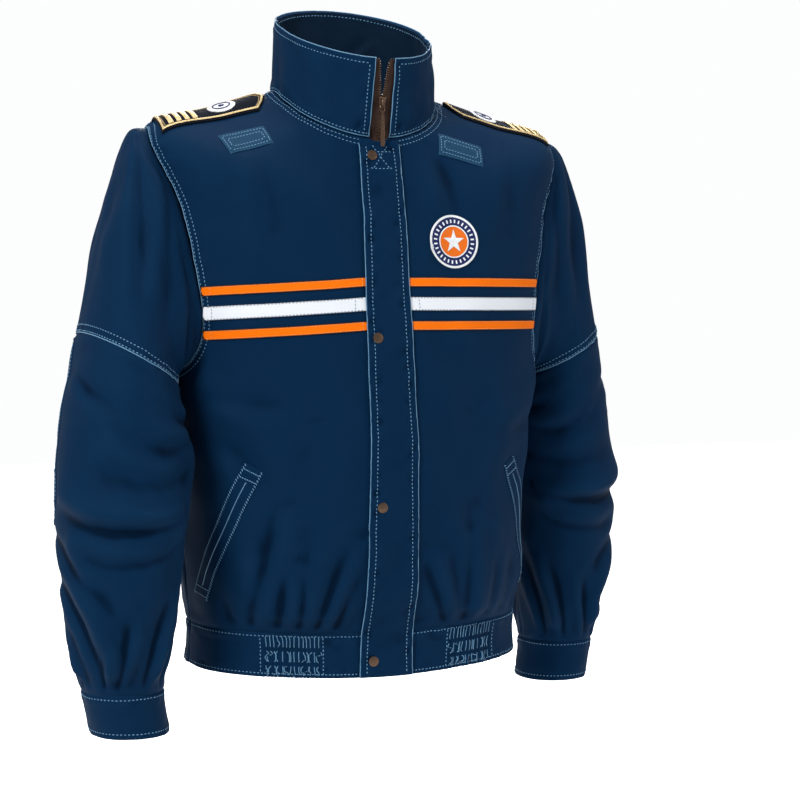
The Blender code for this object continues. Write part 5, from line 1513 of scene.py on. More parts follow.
def sleeve_pieces(side_name, side):
    arm = ARM[side]
    rounds = -pi / 2 + tau * np.linspace(0, 1, cells(0.57) + 1)
    upper = (ARM_SEAM * edged(0.27))[:, None]
    points = sleeve(side, rounds, upper)
    under = Edge(points[:, 0], "seam", ())
    edges = [Edge(points[0], "seam", ()), Edge(points[-1], "seam", (0.0035, 0.0090)), under]
    cloth(
        "cloth_sleeve_upper_" + side_name, points, sleeve_inside(side, rounds, upper), CLOTH, finishes["navy"],
        "sleeve_upper_" + side_name, edges,
        closed=True, seed=51 + side,
    )
    rounds = -pi / 2 + tau * np.linspace(0, 1, cells(0.46) + 1)
    lower = (ARM_SEAM + (CUFF_SEAM - ARM_SEAM) * edged(0.37))[:, None]
    points = sleeve(side, rounds, lower)
    slit = sleeve(side, radians(CUFF_START) + 0 * lower[:, 0], np.linspace(9.1, CUFF_SEAM, len(lower)))
    edges = [
        Edge(points[0], "seam", ()), Edge(points[-1], "seam", ()), Edge(points[:, 0], "seam", ()),
        Edge(slit, "seam", (0.0040,)),
    ]
    cloth(
        "cloth_sleeve_lower_" + side_name, points, sleeve_inside(side, rounds, lower), CLOTH, finishes["navy"],
        "sleeve_lower_" + side_name, edges, closed=True,
        seed=54 + side,
    )
    around = np.linspace(-pi / 2 + 0.03, 3 * pi / 2 - 0.03, 220)
    key = "sleeve_" + side_name
    for away in (0.0035, 0.0090):
        sew(key, arm, *beside(arm, around, ARM_SEAM + 0 * around, away, (0 * around, 0 * around - 1)))
    edge_thread(key, arm, *beside(arm, around, ARM_SEAM + 0 * around, 0.0016, (0 * around, 0 * around - 1)), radius=0.0006)
    slit_at = np.linspace(9.15, CUFF_SEAM - 0.05, 60)
    beside_slit = beside(arm, radians(CUFF_START) + 0 * slit_at, slit_at, 0.0040, (0 * slit_at + 1, 0 * slit_at))
    sew(key, arm, *beside_slit)

    behind = np.radians(np.linspace(*ELBOW_PATCH_TURNS, cells(0.21) + 1))
    patch_rows = (4.06 + (ELBOW_PATCH_END - 4.06) * edged(0.17))[:, None]
    inside = sleeve_inside(side, behind, patch_rows)
    points = sleeve(side, behind, patch_rows)
    normals = facing(points, inside, False)
    points = seated(points, normals, ("cloth_sleeve_lower_" + side_name,)) + 0.0014 * normals
    edges = [Edge(points[0], "fold", (0.0035,)), Edge(points[-1], "fold", (0.0030, 0.0080))]
    edges += [Edge(points[:, 0], "fold", (0.0030, 0.0080)), Edge(points[:, -1], "fold", (0.0030, 0.0080))]
    cloth(
        "cloth_elbow_patch_" + side_name, points, inside, 0.0012, finishes["navy"],
        "elbow_patch_" + side_name, edges, seed=57 + side,
        pucker=0.2,
    )
    lift = LAY + 0.0012
    for away in (0.0030, 0.0080):
        ends = np.linspace(*np.radians(ELBOW_PATCH_TURNS), 90)
        sew(key, arm, *beside(arm, ends, ELBOW_PATCH_END + 0 * ends, away, (0 * ends, 0 * ends - 1)), lift, trim=(away, away))
        along = np.linspace(4.1, ELBOW_PATCH_END, 90)
        for edge_turn, way in ((ELBOW_PATCH_TURNS[0], 1), (ELBOW_PATCH_TURNS[1], -1)):
            sew(key, arm, *beside(arm, radians(edge_turn) + 0 * along, along, away, (0 * along + way, 0 * along)), lift,
                trim=(0.003, away))
    cuff(side_name, side)


def cuff_lift(rounds):
    return (CLOTH + LAY) * smooth((rounds - radians(CUFF_START + 346)) / radians(12))


def cuff(side_name, side):
    arm = ARM[side]
    rounds = np.radians(CUFF_START + (360 + CUFF_LAP) * edged(0.29))
    stations = (CUFF_SEAM + (CUFF_EDGE - CUFF_SEAM) * edged(0.046))[:, None]
    points = sleeve(side, rounds, stations, cuff_lift(rounds) + 0 * stations)
    edges = [Edge(points[0], "seam", (0.0040,)), Edge(points[-1], "fold", (0.0055,))]
    edges += [Edge(points[:, -1], "fold", (0.0050,))]
    cloth(
        "cloth_cuff_" + side_name, points, sleeve_inside(side, rounds, stations), CLOTH, finishes["navy"],
        "cuff_" + side_name, edges, seed=61 + side,
    )
    around = np.radians(np.linspace(CUFF_START + 14, CUFF_START + 360 + CUFF_LAP, 160))
    for station, away, way in ((CUFF_SEAM, 0.0040, 1), (CUFF_EDGE - 0.002, 0.0055, -1)):
        a, b = beside(arm, around, station + 0 * around, away, (0 * around, 0 * around + way))
        sew("cuffs", arm, a, b, cuff_lift(a), trim=(0.0, 0.005))
    up = np.linspace(CUFF_SEAM + 0.05, CUFF_EDGE - 0.05, 30)
    end = radians(CUFF_START + 360 + CUFF_LAP)
    sew("cuffs", arm, *beside(arm, end + 0 * up, up, 0.0050, (0 * up - 1, 0 * up)), CLOTH + LAY, trim=(0.004, 0.005))
    for name, at, raised, finish in (
        ("lap", CUFF_START + 360 + 9, CLOTH + LAY, "silver"), ("spare", CUFF_START + 45, 0.0, "bronze")
    ):
        point, _, _, normal = slopes(arm, np.array(radians(at)), np.array(11.5), raised)
        snap("snap_cuff_{}_{}".format(side_name, name), point, normal, finish)


# Hem band


def gather_lift(x, level, place):
    """The elastic's gathers: rounded ribs, drawn flatter along the rows of elastic."""
    low, high = SHIRRING[place]
    share = (np.abs(x) - low) / (high - low)
    inside = (share > 0) & (share < 1)
    wave = share * GATHERS + 0.12 * np.sin(share * 23)
    rib = np.abs(np.sin(pi * wave)) ** 0.8
    uneven = 0.80 + 0.20 * np.sin(np.floor(wave) * 2.4 + level * 1.3)
    pinch = np.ones(np.shape(level))
    for row in ELASTIC_ROWS:
        pinch = pinch - 0.62 * np.exp(-(((level - row) / 0.055) ** 2))
    ends = smooth(share / 0.05) * smooth((1 - share) / 0.05)
    hollow = -0.0012 * ends
    return np.where(inside, (GATHER_HEIGHT * rib * uneven * pinch + hollow) * ends, 0)


def hem_shape(turn, level, lift=0.0):
    """The hem band's cloth, with its gathers and a slight wave between them."""
    base = body_base(turn, level)
    place = np.where(np.cos(np.asarray(turn) + 0 * base[..., 0]) > 0, 1, 0)
    front = gather_lift(base[..., 0], np.asarray(level) + 0 * base[..., 0], "front")
    back = gather_lift(base[..., 0], np.asarray(level) + 0 * base[..., 0], "back")
    soft = ripple(np.asarray(turn) * 0.17 + 0 * base[..., 0], base[..., 2], 71, 0.045, 0.0007)
    held = smooth((HEM_SEAM - np.asarray(level) + 0 * base[..., 0]) / 0.10)
    return body(turn, level, np.asarray(lift, float) + (np.where(place == 1, front, back) + soft) * held)


HEM = Surface(hem_shape, 1)


def hem_columns(marks):
    """Turns between marks, each stretch with its own cell."""
    turns = [np.array([marks[0][0]])]
    for (start, _), (end, cell) in zip(marks[:-1], marks[1:]):
        reach = np.linalg.norm(body_base((start + end) / 2, 0.5)[:2]) * abs(end - start)
        turns.append(np.linspace(start, end, cells(reach, cell=cell) + 1)[1:])
    return np.concatenate(turns)


def hem_pieces():
    rows = (HEM_SEAM * edged(0.047, cell=0.0026))[:, None]
    fine = 0.0011
    shirred = turn_at_x(np.array(SHIRRING["front"]), 0.5)
    start = front_turn(0.5)
    back_low, back_high = turn_at_x(np.array(SHIRRING["back"])[::-1], 0.5, back=True)
    bands = [
        ("front_right", -1, [(start, 0), (shirred[0], CELL), (shirred[1], fine), (pi / 2, CELL)]),
        ("front_left", 1, [(start, 0), (shirred[0], CELL), (shirred[1], fine), (pi / 2, CELL)]),
        ("back", 1, [(pi / 2, 0), (back_low, CELL), (back_high, fine), (tau - back_high, CELL),
                     (tau - back_low, fine), (3 * pi / 2, CELL)]),
    ]
    for name, side, marks in bands:
        turns = side * hem_columns(marks)
        points = hem_shape(turns, rows)
        under = HEM_SEAM + HEM_TUCK + 0 * turns
        tucked = body(turns, under) - (CLOTH + 0.0012) * body_normal(turns, under)
        points = np.concatenate([points, tucked[None]])
        edges = [Edge(points[0], "fold", (0.0040,)), Edge(points[-2], "seam", (0.0030,))]
        edges += [Edge(points[:, 0], "fold" if name != "back" else "seam", ()), Edge(points[:, -1], "seam", ())]
        cloth(
            "cloth_hem_" + name, points, body_inside(points), CLOTH, finishes["navy"], "hem_" + name,
            edges, seed=73 + side,
        )
        dense = np.linspace(turns[0], turns[-1], 500)
        for level, away, way in ((0.0, 0.0040, 1), (HEM_SEAM, 0.0030, -1)):
            a, b = beside(HEM, dense, level + 0 * dense, away, (0 * dense, 0 * dense + way))
            sew("hem", HEM, a, b, 0.0002, trim=(0.002, 0.002))
        stretches = [shirred] if name != "back" else [(back_low, back_high), (tau - back_high, tau - back_low)]
        for low, high in stretches:
            up = np.linspace(0.06, 0.94, 30)
            for at in (low - 0.006, high + 0.006):
                sew("hem", HEM, side * at + 0 * up, up, 0.0003)
            elastic(side, low, high, "back" if name == "back" else "front")


def elastic(side, low, high, place):
    """Threads drawn tight in the valleys between gathers, broken at the rows of elastic."""
    shares = np.arange(1, GATHERS)
    for low_level, high_level in ((0.07, 0.26), (0.36, 0.59), (0.69, 0.93)):
        for k in shares:
            turn = low + (high - low) * k / GATHERS
            up = np.linspace(low_level, high_level, 9)
            x = body_base(side * turn, 0.5)[0]
            bounds = SHIRRING[place]
            share = (abs(x) - bounds[0]) / (bounds[1] - bounds[0])
            nearest = (round(share * GATHERS + 0.12 * sin(share * 23)) - 0.12 * sin(share * 23)) / GATHERS
            target = np.sign(x) * (bounds[0] + (bounds[1] - bounds[0]) * nearest)
            at = turn_at_x(np.array(target), 0.5, back=place == "back")
            edge_thread("hem", HEM, float(at) + 0 * up, up, 0.0002, radius=0.00050)


# Collar, flap and zip


def collar_piece():
    rises = edged(0.098)[:, None]
    depth = TORSO[NECK].front_depth + (COLLAR_TOP_FRONT - TORSO[NECK].front_depth) * rises
    start = COLLAR_OPENING / depth
    turns = start + (tau - 2 * start) * edged(0.53)
    rise_grid = rises + 0 * turns
    points = collar_shaped(turns, rise_grid)
    edges = [
        Edge(points[0], "seam", (0.0035,)), Edge(points[-1], "fold", (0.0060,)),
        Edge(points[:, 0], "fold", (0.0060,)), Edge(points[:, -1], "fold", (0.0060,)),
    ]
    inside = points * [0.5, 0.5, 1]
    cloth(
        "cloth_collar", points, inside, COLLAR_CLOTH, finishes["navy"], "collar", edges,
        seed=81,
    )
    top = np.linspace(turns[-1, 0], turns[-1, -1], 400)
    ends = [(turns[0, k], turns[-1, k], way) for k, way in ((0, 1), (-1, -1))]
    for inner in (False, True):
        lift = -COLLAR_CLOTH if inner else 0.0
        a, b = beside(COLLAR, top, 1 + 0 * top, 0.0060, (0 * top, 0 * top - 1))
        sew("collar", COLLAR, a, b, lift, trim=(0.006, 0.006), flip=inner)
        rise = np.linspace(0.02, 1, 60)
        for low, high, way in ends:
            edge_turn = low + (high - low) * rise
            a, b = beside(COLLAR, edge_turn, rise, 0.0060, (way + 0 * rise, 0 * rise))
            sew("collar", COLLAR, a, b, lift, trim=(0.0, 0.006), flip=inner)
    seam = np.linspace(turns[0, 0], turns[0, -1], 400)
    sew("collar", COLLAR, *beside(COLLAR, seam, 0.01 + 0 * seam, 0.0035, (0 * seam, 0 * seam + 1)))
    edge_thread("collar", COLLAR, top, 0.9985 + 0 * top, -0.0008)
    for low, high, way in ends:
        rise = np.linspace(0.02, 1, 50)
        edge_turn = low + (high - low) * rise + way * 0.004
        edge_thread("collar", COLLAR, edge_turn, rise, -0.0006)
    edge_thread("collar", COLLAR, seam, 0.018 + 0 * seam, -0.0004)


def flap_edges(levels):
    """The x of the flap's two edges at each level."""
    z = between(column(TORSO, "front_z"), levels)
    down = np.array(column(FLAP, "z"))[::-1]
    return (np.interp(z, down, column(FLAP, name)[::-1]) for name in ("right_x", "left_x"))


def flap_piece():
    tall = TORSO[NECK].front_z - TORSO[0].front_z
    levels = level_at(0.0, TORSO[0].front_z + tall * edged(tall))
    levels = np.clip(levels, 0.012, NECK - 0.08)
    levels = np.unique(levels)[:, None]
    right, left = flap_edges(levels)
    share = edged(0.052, cell=0.0030)
    x = right + (left - right) * share
    turns = turn_at_x(x, levels)
    bow = 0.0007 * np.sin(pi * share) + ripple(x, levels * 0.055, 83, 0.05, 0.0009)
    lift = LAY + FLAP_CLOTH + 0.0003 + np.maximum(bow, 0)
    points = body(turns, levels + 0 * turns, lift)
    edges = [
        Edge(points[:, 0], "fold", (0.0070,)), Edge(points[:, -1], "fold", (0.0070,)),
        Edge(points[0], "fold", ()), Edge(points[-1], "fold", (0.0040,)),
    ]
    cloth(
        "cloth_flap", points, body_inside(points), FLAP_CLOTH, finishes["navy"], "flap", edges,
        seed=84,
    )
    normals = facing(points, body_inside(points), False)
    run = lengths(points, 1)
    for column_at, offset in ((0, 0.0070), (-1, 0.0070)):
        away = run if column_at == 0 else run[:, -1:] - run
        rows = range(len(points))
        order = 1 if column_at == 0 else -1
        spots = [[np.interp(offset, away[row, ::order], points[row, ::order, k]) for k in range(3)] for row in rows]
        ways = [[np.interp(offset, away[row, ::order], normals[row, ::order, k]) for k in range(3)] for row in rows]
        ways = np.array(ways)
        sew_line("flap", np.array(spots) - 0.00035 * ways, ways, trim=(0.003, 0.006))
        edge = points[:, column_at] - 0.0009 * normals[:, column_at]
        edged_threads.setdefault("flap", []).append((edge[2:-2], normals[2:-2, column_at], EDGE_THREAD))
    tops = [row for row in range(len(points)) if points[-1, 0, 2] - points[row, 0, 2] < 0.030]
    middle = points.shape[1] // 2
    for row in (tops[0], tops[len(tops) // 2]):
        sew_line("flap", points[row, 6:-6], normals[row, 6:-6])
    corners = (points[tops[0], 8], points[tops[-3], -9], points[tops[0], -9], points[tops[-3], 8])
    for start, end in ((corners[0], corners[1]), (corners[2], corners[3])):
        line = np.linspace(start, end, 12)
        away = np.linalg.norm(line[:, None, None] - points[None], axis=-1).reshape(12, -1).argmin(axis=1)
        on = points.reshape(-1, 3)[away]
        sew_line("flap", on, np.repeat(normals[tops[0], middle][None], 12, axis=0))
    for number, (x, z) in enumerate(FLAP_SNAPS):
        turn, level = on_front((x, z))
        point, _, _, normal = slopes(BODY, turn, level, LAY + FLAP_CLOTH + 0.0009)
        snap("snap_flap_{}".format(number + 1), point, normal, "bronze")


def zip_tapes():
    levels = np.unique(np.clip(level_at(0.0, np.linspace(-0.614, -0.058, cells(0.556) + 1)), 0.05, NECK - 0.1))[:, None]
    rises = np.linspace(0.06, 0.985, cells(0.09) + 1)[:, None]
    back_of = CLOTH + 0.0005
    parted = np.interp(rises, [SLIDER_RISE, 1], [ZIP_MIDDLE_GAP / 2, ZIP_PARTED])
    depth = TORSO[NECK].front_depth + (COLLAR_TOP_FRONT - TORSO[NECK].front_depth) * rises
    for side_name, side in (("right", -1), ("left", 1)):
        across = np.linspace(0, 1, 7)
        body_x = ZIP_MIDDLE_GAP / 2 + (ZIP_TAPE_WIDTH - ZIP_MIDDLE_GAP / 2) * across
        turns = side * turn_at_x(body_x + 0 * levels, levels)
        collar_x = parted + (ZIP_TAPE_WIDTH - ZIP_MIDDLE_GAP / 2) * across
        neck_turns = side * collar_x / depth
        bend = ZIP_TAPE_BEND * smooth((levels - NECK + 1.0) / 0.8) + 0 * turns
        lower = body(turns, levels + 0 * turns, -back_of - bend)
        bend = np.interp(rises, [0.06, 0.25], [ZIP_TAPE_BEND, ZIP_TAPE_COLLAR_BEND]) + 0 * neck_turns
        deeper = COLLAR_CLOTH + 0.0005 + bend
        higher = collar(neck_turns, rises + 0 * neck_turns, -deeper)
        points = np.concatenate([lower, higher])
        cloth(
            "cloth_zip_tape_" + side_name, points, body_inside(points), TAPE_CLOTH, finishes["zip_tape"],
            "zip_tape_" + side_name, [Edge(points[:, -1], "fold", (0.0030,))],
            seed=91 + side,
        )
        teeth(side_name, side, points)


def tooth_template():
    """One coil tooth of the zip, a small rounded block that reaches past the tape's edge."""
    deselect()
    bpy.ops.mesh.primitive_cube_add(size=1, location=(0, 0, 0))
    tooth = bpy.context.object
    bpy.ops.object.mode_set(mode="EDIT")
    bpy.ops.mesh.select_all(action="SELECT")
    bpy.ops.transform.resize(value=(0.0030, 0.0018, 0.0011), center_override=(0, 0, 0))
    bpy.ops.mesh.bevel(offset=0.0003, segments=1)
    bpy.ops.object.mode_set(mode="OBJECT")
    points = np.array([vertex.co[:] for vertex in tooth.data.vertices])
    faces = [tuple(face.vertices) for face in tooth.data.polygons]
    bpy.data.objects.remove(tooth, do_unlink=True)
    return points, faces


def teeth(side_name, side, points):
    line, next_line = points[:, 0], points[:, 1]
    run = np.concatenate([[0], np.cumsum(np.linalg.norm(np.diff(line, axis=0), axis=1))])
    middles = np.arange(0.004 + (TOOTH_PITCH / 2 if side > 0 else 0), run[-1] - 0.002, TOOTH_PITCH)
    template, faces = tooth_template()
    spots, nexts = (
        np.stack([np.interp(middles, run, row[:, k]) for k in range(3)], axis=1) for row in (line, next_line)
    )
    along = unit(np.gradient(spots, axis=0))
    across = unit(nexts - spots)
    out = unit(np.cross(across, along)) * -side
    parts = []
    for k in range(len(spots)):
        turned = np.stack([across[k], out[k], along[k]])
        parts.append((template @ turned + spots[k] + 0.0004 * out[k] + 0.0006 * across[k], faces))
    dress(joined("zip_teeth_" + side_name, parts, finishes["bronze"], 30), None)


def slider_frame():
    """Where the slider stands on the tapes: its point, its forward way and its upward way."""
    tape_face = COLLAR_CLOTH + 0.0005 + ZIP_TAPE_COLLAR_BEND
    point = collar(np.array(0.0), np.array(SLIDER_RISE), SLIDER_GAP - tape_face)
    up = unit(collar_base(np.array(0.0), np.array(1.0)) - collar_base(np.array(0.0), np.array(0.0)))
    forward = np.cross(up, [1, 0, 0])
    return point, forward if forward[1] < 0 else -forward, up


def settle(made, stand=None):
    """Puts an object's place into its mesh."""
    if stand is not None:
        made.matrix_world = stand
        bpy.context.view_layer.update()
    deselect()
    made.select_set(True)
    bpy.context.view_layer.objects.active = made
    bpy.ops.object.transform_apply(location=True, rotation=True, scale=True)


def join(objects, name):
    deselect()
    for made in objects:
        made.select_set(True)
    bpy.context.view_layer.objects.active = objects[0]
    bpy.ops.object.join()
    objects[0].name = name
    return objects[0]


def rounded(made, width, segments=2):
    bevel = made.modifiers.new("rounded", "BEVEL")
    bevel.width = width
    bevel.segments = segments
    bevel.limit_method = "ANGLE"
    apply_modifiers(made)


def slider():
    point, forward, up = slider_frame()
    stand = Matrix((Vector((1, 0, 0)), Vector(-forward), Vector(up))).transposed().to_4x4()
    stand.translation = Vector(point)
    deselect()
    bpy.ops.mesh.primitive_cube_add(size=1)
    block = bpy.context.object
    bpy.ops.object.mode_set(mode="EDIT")
    bpy.ops.mesh.select_all(action="SELECT")
    bpy.ops.transform.resize(value=(0.0084, 0.0030, 0.0118), center_override=(0, 0, 0))
    bpy.ops.transform.translate(value=(0, -0.0016, 0))
    bpy.ops.object.mode_set(mode="OBJECT")
    cage = bmesh.new()
    cage.from_mesh(block.data)
    for vertex in cage.verts:
        if vertex.co.z < 0:
            vertex.co.x *= 0.62
    cage.to_mesh(block.data)
    cage.free()
    bpy.ops.object.mode_set(mode="EDIT")
    bpy.ops.mesh.select_all(action="DESELECT")
    bpy.ops.object.mode_set(mode="OBJECT")
    for face in block.data.polygons:
        face.select = face.normal.y < -0.9
    bpy.ops.object.mode_set(mode="EDIT")
    bpy.ops.mesh.inset(thickness=0.0010)
    bpy.ops.transform.translate(value=(0, 0.0004, 0))
    bpy.ops.object.mode_set(mode="OBJECT")
    rounded(block, 0.0004, 3)
    bpy.ops.mesh.primitive_torus_add(
        major_segments=28, minor_segments=10, major_radius=0.0026, minor_radius=0.0006,
        location=(0, -0.0036, 0), rotation=(0, pi / 2, 0),
    )
    bridge = bpy.context.object
    bpy.ops.object.mode_set(mode="EDIT")
    bpy.ops.mesh.select_all(action="SELECT")
    bpy.ops.transform.resize(value=(1.6, 0.90, 1.35), center_override=(0, -0.0036, 0))
    bpy.ops.object.mode_set(mode="OBJECT")
    made = join([block, bridge], "zip_slider_body")
    made.data.materials.clear()
    made.data.materials.append(finishes["bronze"])
    bpy.ops.object.shade_smooth_by_angle(angle=radians(35))
    settle(made, stand)
    dress(made, "zip_slider")
    pull()


def pull():
    """The pull: a narrow tab with a ring at its top, hanging from the slider's bridge."""
    low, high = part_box("zip_pull")
    middle_x, middle_y = (low.x + high.x) / 2, (low.y + high.y) / 2
    top = high.z
    deselect()
    bpy.ops.mesh.primitive_torus_add(
        major_segments=32, minor_segments=10, major_radius=0.0030, minor_radius=0.0004,
        location=(middle_x, middle_y, top - PULL_RING_DROP), rotation=(pi / 2, 0, 0),
    )
    ring = bpy.context.object
    bpy.ops.object.mode_set(mode="EDIT")
    bpy.ops.mesh.select_all(action="SELECT")
    bpy.ops.transform.resize(value=(0.92, 1, 1.22), center_override=(middle_x, middle_y, top - PULL_RING_DROP))
    bpy.ops.object.mode_set(mode="OBJECT")
    bpy.ops.object.select_all(action="DESELECT")
    bpy.ops.mesh.primitive_cube_add(size=1, location=(middle_x, middle_y, top - 0.0255))
    tab = bpy.context.object
    bpy.ops.object.mode_set(mode="EDIT")
    bpy.ops.mesh.select_all(action="SELECT")
    bpy.ops.transform.resize(value=(0.0052, 0.0011, 0.0366), center_override=(middle_x, middle_y, top - 0.0255))
    bpy.ops.mesh.subdivide(number_cuts=5)
    bpy.ops.object.mode_set(mode="OBJECT")
    cage = bmesh.new()
    cage.from_mesh(tab.data)
    for vertex in cage.verts:
        share = vertex.co.z / 0.0366 + 0.5
        vertex.co.x *= 0.62 + 0.38 * (1 - smooth(share)) if share < 0.98 else 0.5
        if share < 0.02:
            vertex.co.x *= 0.8
    cage.to_mesh(tab.data)
    cage.free()
    for face in tab.data.polygons:
        face.select = abs(face.normal.y) > 0.9
    bpy.ops.object.mode_set(mode="EDIT")
    bpy.ops.mesh.inset(thickness=0.0007)
    bpy.ops.transform.resize(value=(1, 0.72, 1), center_override=(middle_x, middle_y, top - 0.0255))
    bpy.ops.object.mode_set(mode="OBJECT")
    rounded(tab, 0.0002, 2)
    settle(ring)
    settle(tab)
    made = join([tab, ring], "zip_pull_tab")
    made.data.materials.clear()
    made.data.materials.append(finishes["bronze"])
    bpy.ops.object.shade_smooth_by_angle(angle=radians(35))
    dress(made, "zip_pull", "pull")


def snap_template():
    """A press stud's cap, turned: a rim, a groove and a low dome."""
    deselect()
    bpy.ops.mesh.primitive_cylinder_add(vertices=36, radius=0.0054, depth=0.0010, location=(0, 0, 0.0005))
    cap = bpy.context.object
    for face in cap.data.polygons:
        face.select = face.normal.z > 0.9
    for step in ((0.0006, 0.0005), (0.0005, 0.0), (0.0004, -0.0003), (0.0005, 0.00035), (0.0010, 0.0002), (0.0012, 0.0001)):
        bpy.ops.object.mode_set(mode="EDIT")
        bpy.ops.mesh.inset(thickness=step[0])
        bpy.ops.transform.translate(value=(0, 0, step[1]))
        bpy.ops.object.mode_set(mode="OBJECT")
    rounded(cap, 0.00018, 2)
    bpy.ops.object.shade_smooth_by_angle(angle=radians(40))
    return cap


def snap(node, point, normal, finish):
    """A copy of the cap with its own mesh, stood on the cloth."""
    cap = templates["snap"]
    made = bpy.data.objects.new(node + "_cap", cap.data.copy())
    bpy.context.scene.collection.objects.link(made)
    made.data.materials.clear()
    made.data.materials.append(finishes[finish])
    turned = Vector((0, 0, 1)).rotation_difference(Vector(normal)).to_matrix().to_4x4()
    turned.translation = Vector(point) - 0.0004 * Vector(normal)
    settle(made, turned)
    dress(made, node)


# Pieces laid on the cloth


def laid(name, turn, level, thickness, finish, node, edges_at, under, gap=0.0003, seed=1,
         crown=0.0):
    """A piece that lies on the body's cloth. Edges_at gives the kind and stitch rows of its four sides."""
    turn, level = np.broadcast_arrays(turn, level)
    rows, columns = turn.shape
    dome = crown * np.sin(np.linspace(0, pi, rows))[:, None] ** 0.5 * np.sin(np.linspace(0, pi, columns)) ** 0.5
    points = body(turn, level)
    normals = facing(points, body_inside(points), False)
    points = seated(points, normals, under) + (gap + thickness + dome)[..., None] * normals
    lines = (points[0], points[-1], points[:, 0], points[:, -1])
    edges = [Edge(line, kind, stitched) for line, (kind, stitched) in zip(lines, edges_at)]
    return cloth(
        name, points, body_inside(points), thickness, finish, node, edges, seed=seed,
        pucker=0.15,
    )


def tapes():
    for tape in TAPES:
        half = tape.width / 2
        up = np.linspace(-half, half, max(5, cells(tape.width, cell=0.0022) + 1))[:, None]
        inset = 0.0013
        for side_name, side in (("right", -1), ("left", 1)):
            middle = FRONT_TAPE_Z + tape.offset
            inner_x = abs(FLAP[1].left_x if side > 0 else FLAP[1].right_x) - 0.0015
            at = float(level_at(pi / 2, middle))
            arm_turn, arm_level = armhole(1, np.linspace(-pi / 2, pi / 2, 200))
            outer = np.interp(at, arm_level, arm_turn) - TAPE_END_TURN
            start = float(turn_at_x(np.array(inner_x), at))
            share = np.linspace(0, 1, cells(0.17) + 1)
            turns = start + (outer - start) * share
            drop = RIGHT_TAPE_DROP * share if side < 0 else 0 * share
            levels = level_at(turns, middle - drop + up)
            plain = (("raw", ()),) * 4
            laid(
                "cloth_tape_{}_front_{}".format(tape.name, side_name), side * turns, levels, TAPE_CLOTH,
                finishes[tape.finish], "tape_{}_front_{}".format(tape.name, side_name), plain,
                FRONTS,
            )
            key = "tapes_white" if tape.name == "middle" else "tapes_orange"
            lift = 0.0007 + TAPE_CLOTH
            for z in (-half + inset, half - inset):
                row = level_at(turns, middle - drop + z)
                sew(key, BODY, side * turns, row, lift, pitch=0.0036, trim=(0.003, 0.003))
            for end in (start + 0.10 if tape.name == "middle" else start + 0.04, outer - 0.05):
                here = np.interp(end, turns, drop)
                span = level_at(np.full(12, end), np.linspace(middle - here - half * 0.8, middle - here + half * 0.8, 12))
                sew(key, BODY, side * end + 0 * span, span, lift, pitch=0.0036)
        turns = np.linspace(pi / 2 + 0.004, 3 * pi / 2 - 0.004, cells(0.55) + 1)
        sag = BACK_TAPE_SAG * np.sin(turns - pi / 2) ** 2
        middle = BACK_TAPE_Z + tape.offset * BACK_TAPE_SPREAD - sag
        levels = level_at(turns, middle + up)
        laid(
            "cloth_tape_{}_back".format(tape.name), turns, levels, TAPE_CLOTH, finishes[tape.finish],
            "tape_{}_back".format(tape.name), (("raw", ()),) * 4, ("cloth_back_panel",),
        )
        key = "tapes_white" if tape.name == "middle" else "tapes_orange"
        for z in (-half + inset, half - inset):
            sew(key, BODY, turns, level_at(turns, middle + z), 0.0009 + TAPE_CLOTH, pitch=0.0036, trim=(0.003, 0.003))


def pockets_and_loops():
    for side_name, side in (("right", -1), ("left", 1)):
        pocket = quad_grid([(radians(turn), z) for turn, z in POCKET_CORNERS], 14, 56)
        turn, level = pocket[..., 0], level_at(pocket[..., 0], pocket[..., 1])
        edges_at = (("fold", (0.0030,)), ("fold", (0.0030,)), ("fold", (0.0022,)), ("fold", (0.0022,)))
        laid(
            "cloth_pocket_" + side_name, side * turn, level, 0.0011, finishes["navy"],
            "pocket_" + side_name, edges_at, FRONTS, seed=95,
        )
        lift = 0.0010 + 0.0011
        for share in (0.10, 0.90):
            corner = int(round(share * (pocket.shape[1] - 1)))
            zigzag_along(side, turn[:, corner], level[:, corner], lift)
        for row in (2, 5, -6, -3):
            sew("pockets", BODY, side * turn[row], level[row], lift + 0.0001, pitch=0.0026, trim=(0.0015, 0.0015))
        middle = pocket.shape[1] // 2
        edge_thread("pockets", BODY, side * turn[6:-6, middle], level[6:-6, middle], lift + 0.0001, radius=0.0005)

        corners = LOOP_CORNERS[side_name]
        loop_turn, loop_level = on_front(quad_grid(corners, 20, 9))
        edges_at = (("fold", (0.0028,)), ("fold", (0.0028,)), ("fold", (0.0028,)), ("fold", (0.0028,)))
        laid(
            "cloth_radio_loop_" + side_name, loop_turn, loop_level, 0.0015, finishes["loop"],
            "radio_loop_" + side_name, edges_at, FRONTS, seed=97,
        )
        lift = 0.0008 + 0.0015
        for inset in (0.12, 0.30):
            inner = quad_grid(corners, 40, 40)
            k = int(round(inset * 40))
            low_cut = k // 3
            rows = (inner[k, low_cut : 41 - low_cut], inner[40 - k, low_cut : 41 - low_cut])
            for row in rows:
                sew("pockets", BODY, *on_front(row), lift, pitch=0.0034, trim=(0.0015, 0.0015))
            for row in (inner[k : 41 - k, low_cut + 1], inner[k : 41 - k, 39 - low_cut]):
                sew("pockets", BODY, *on_front(row), lift, pitch=0.0034)


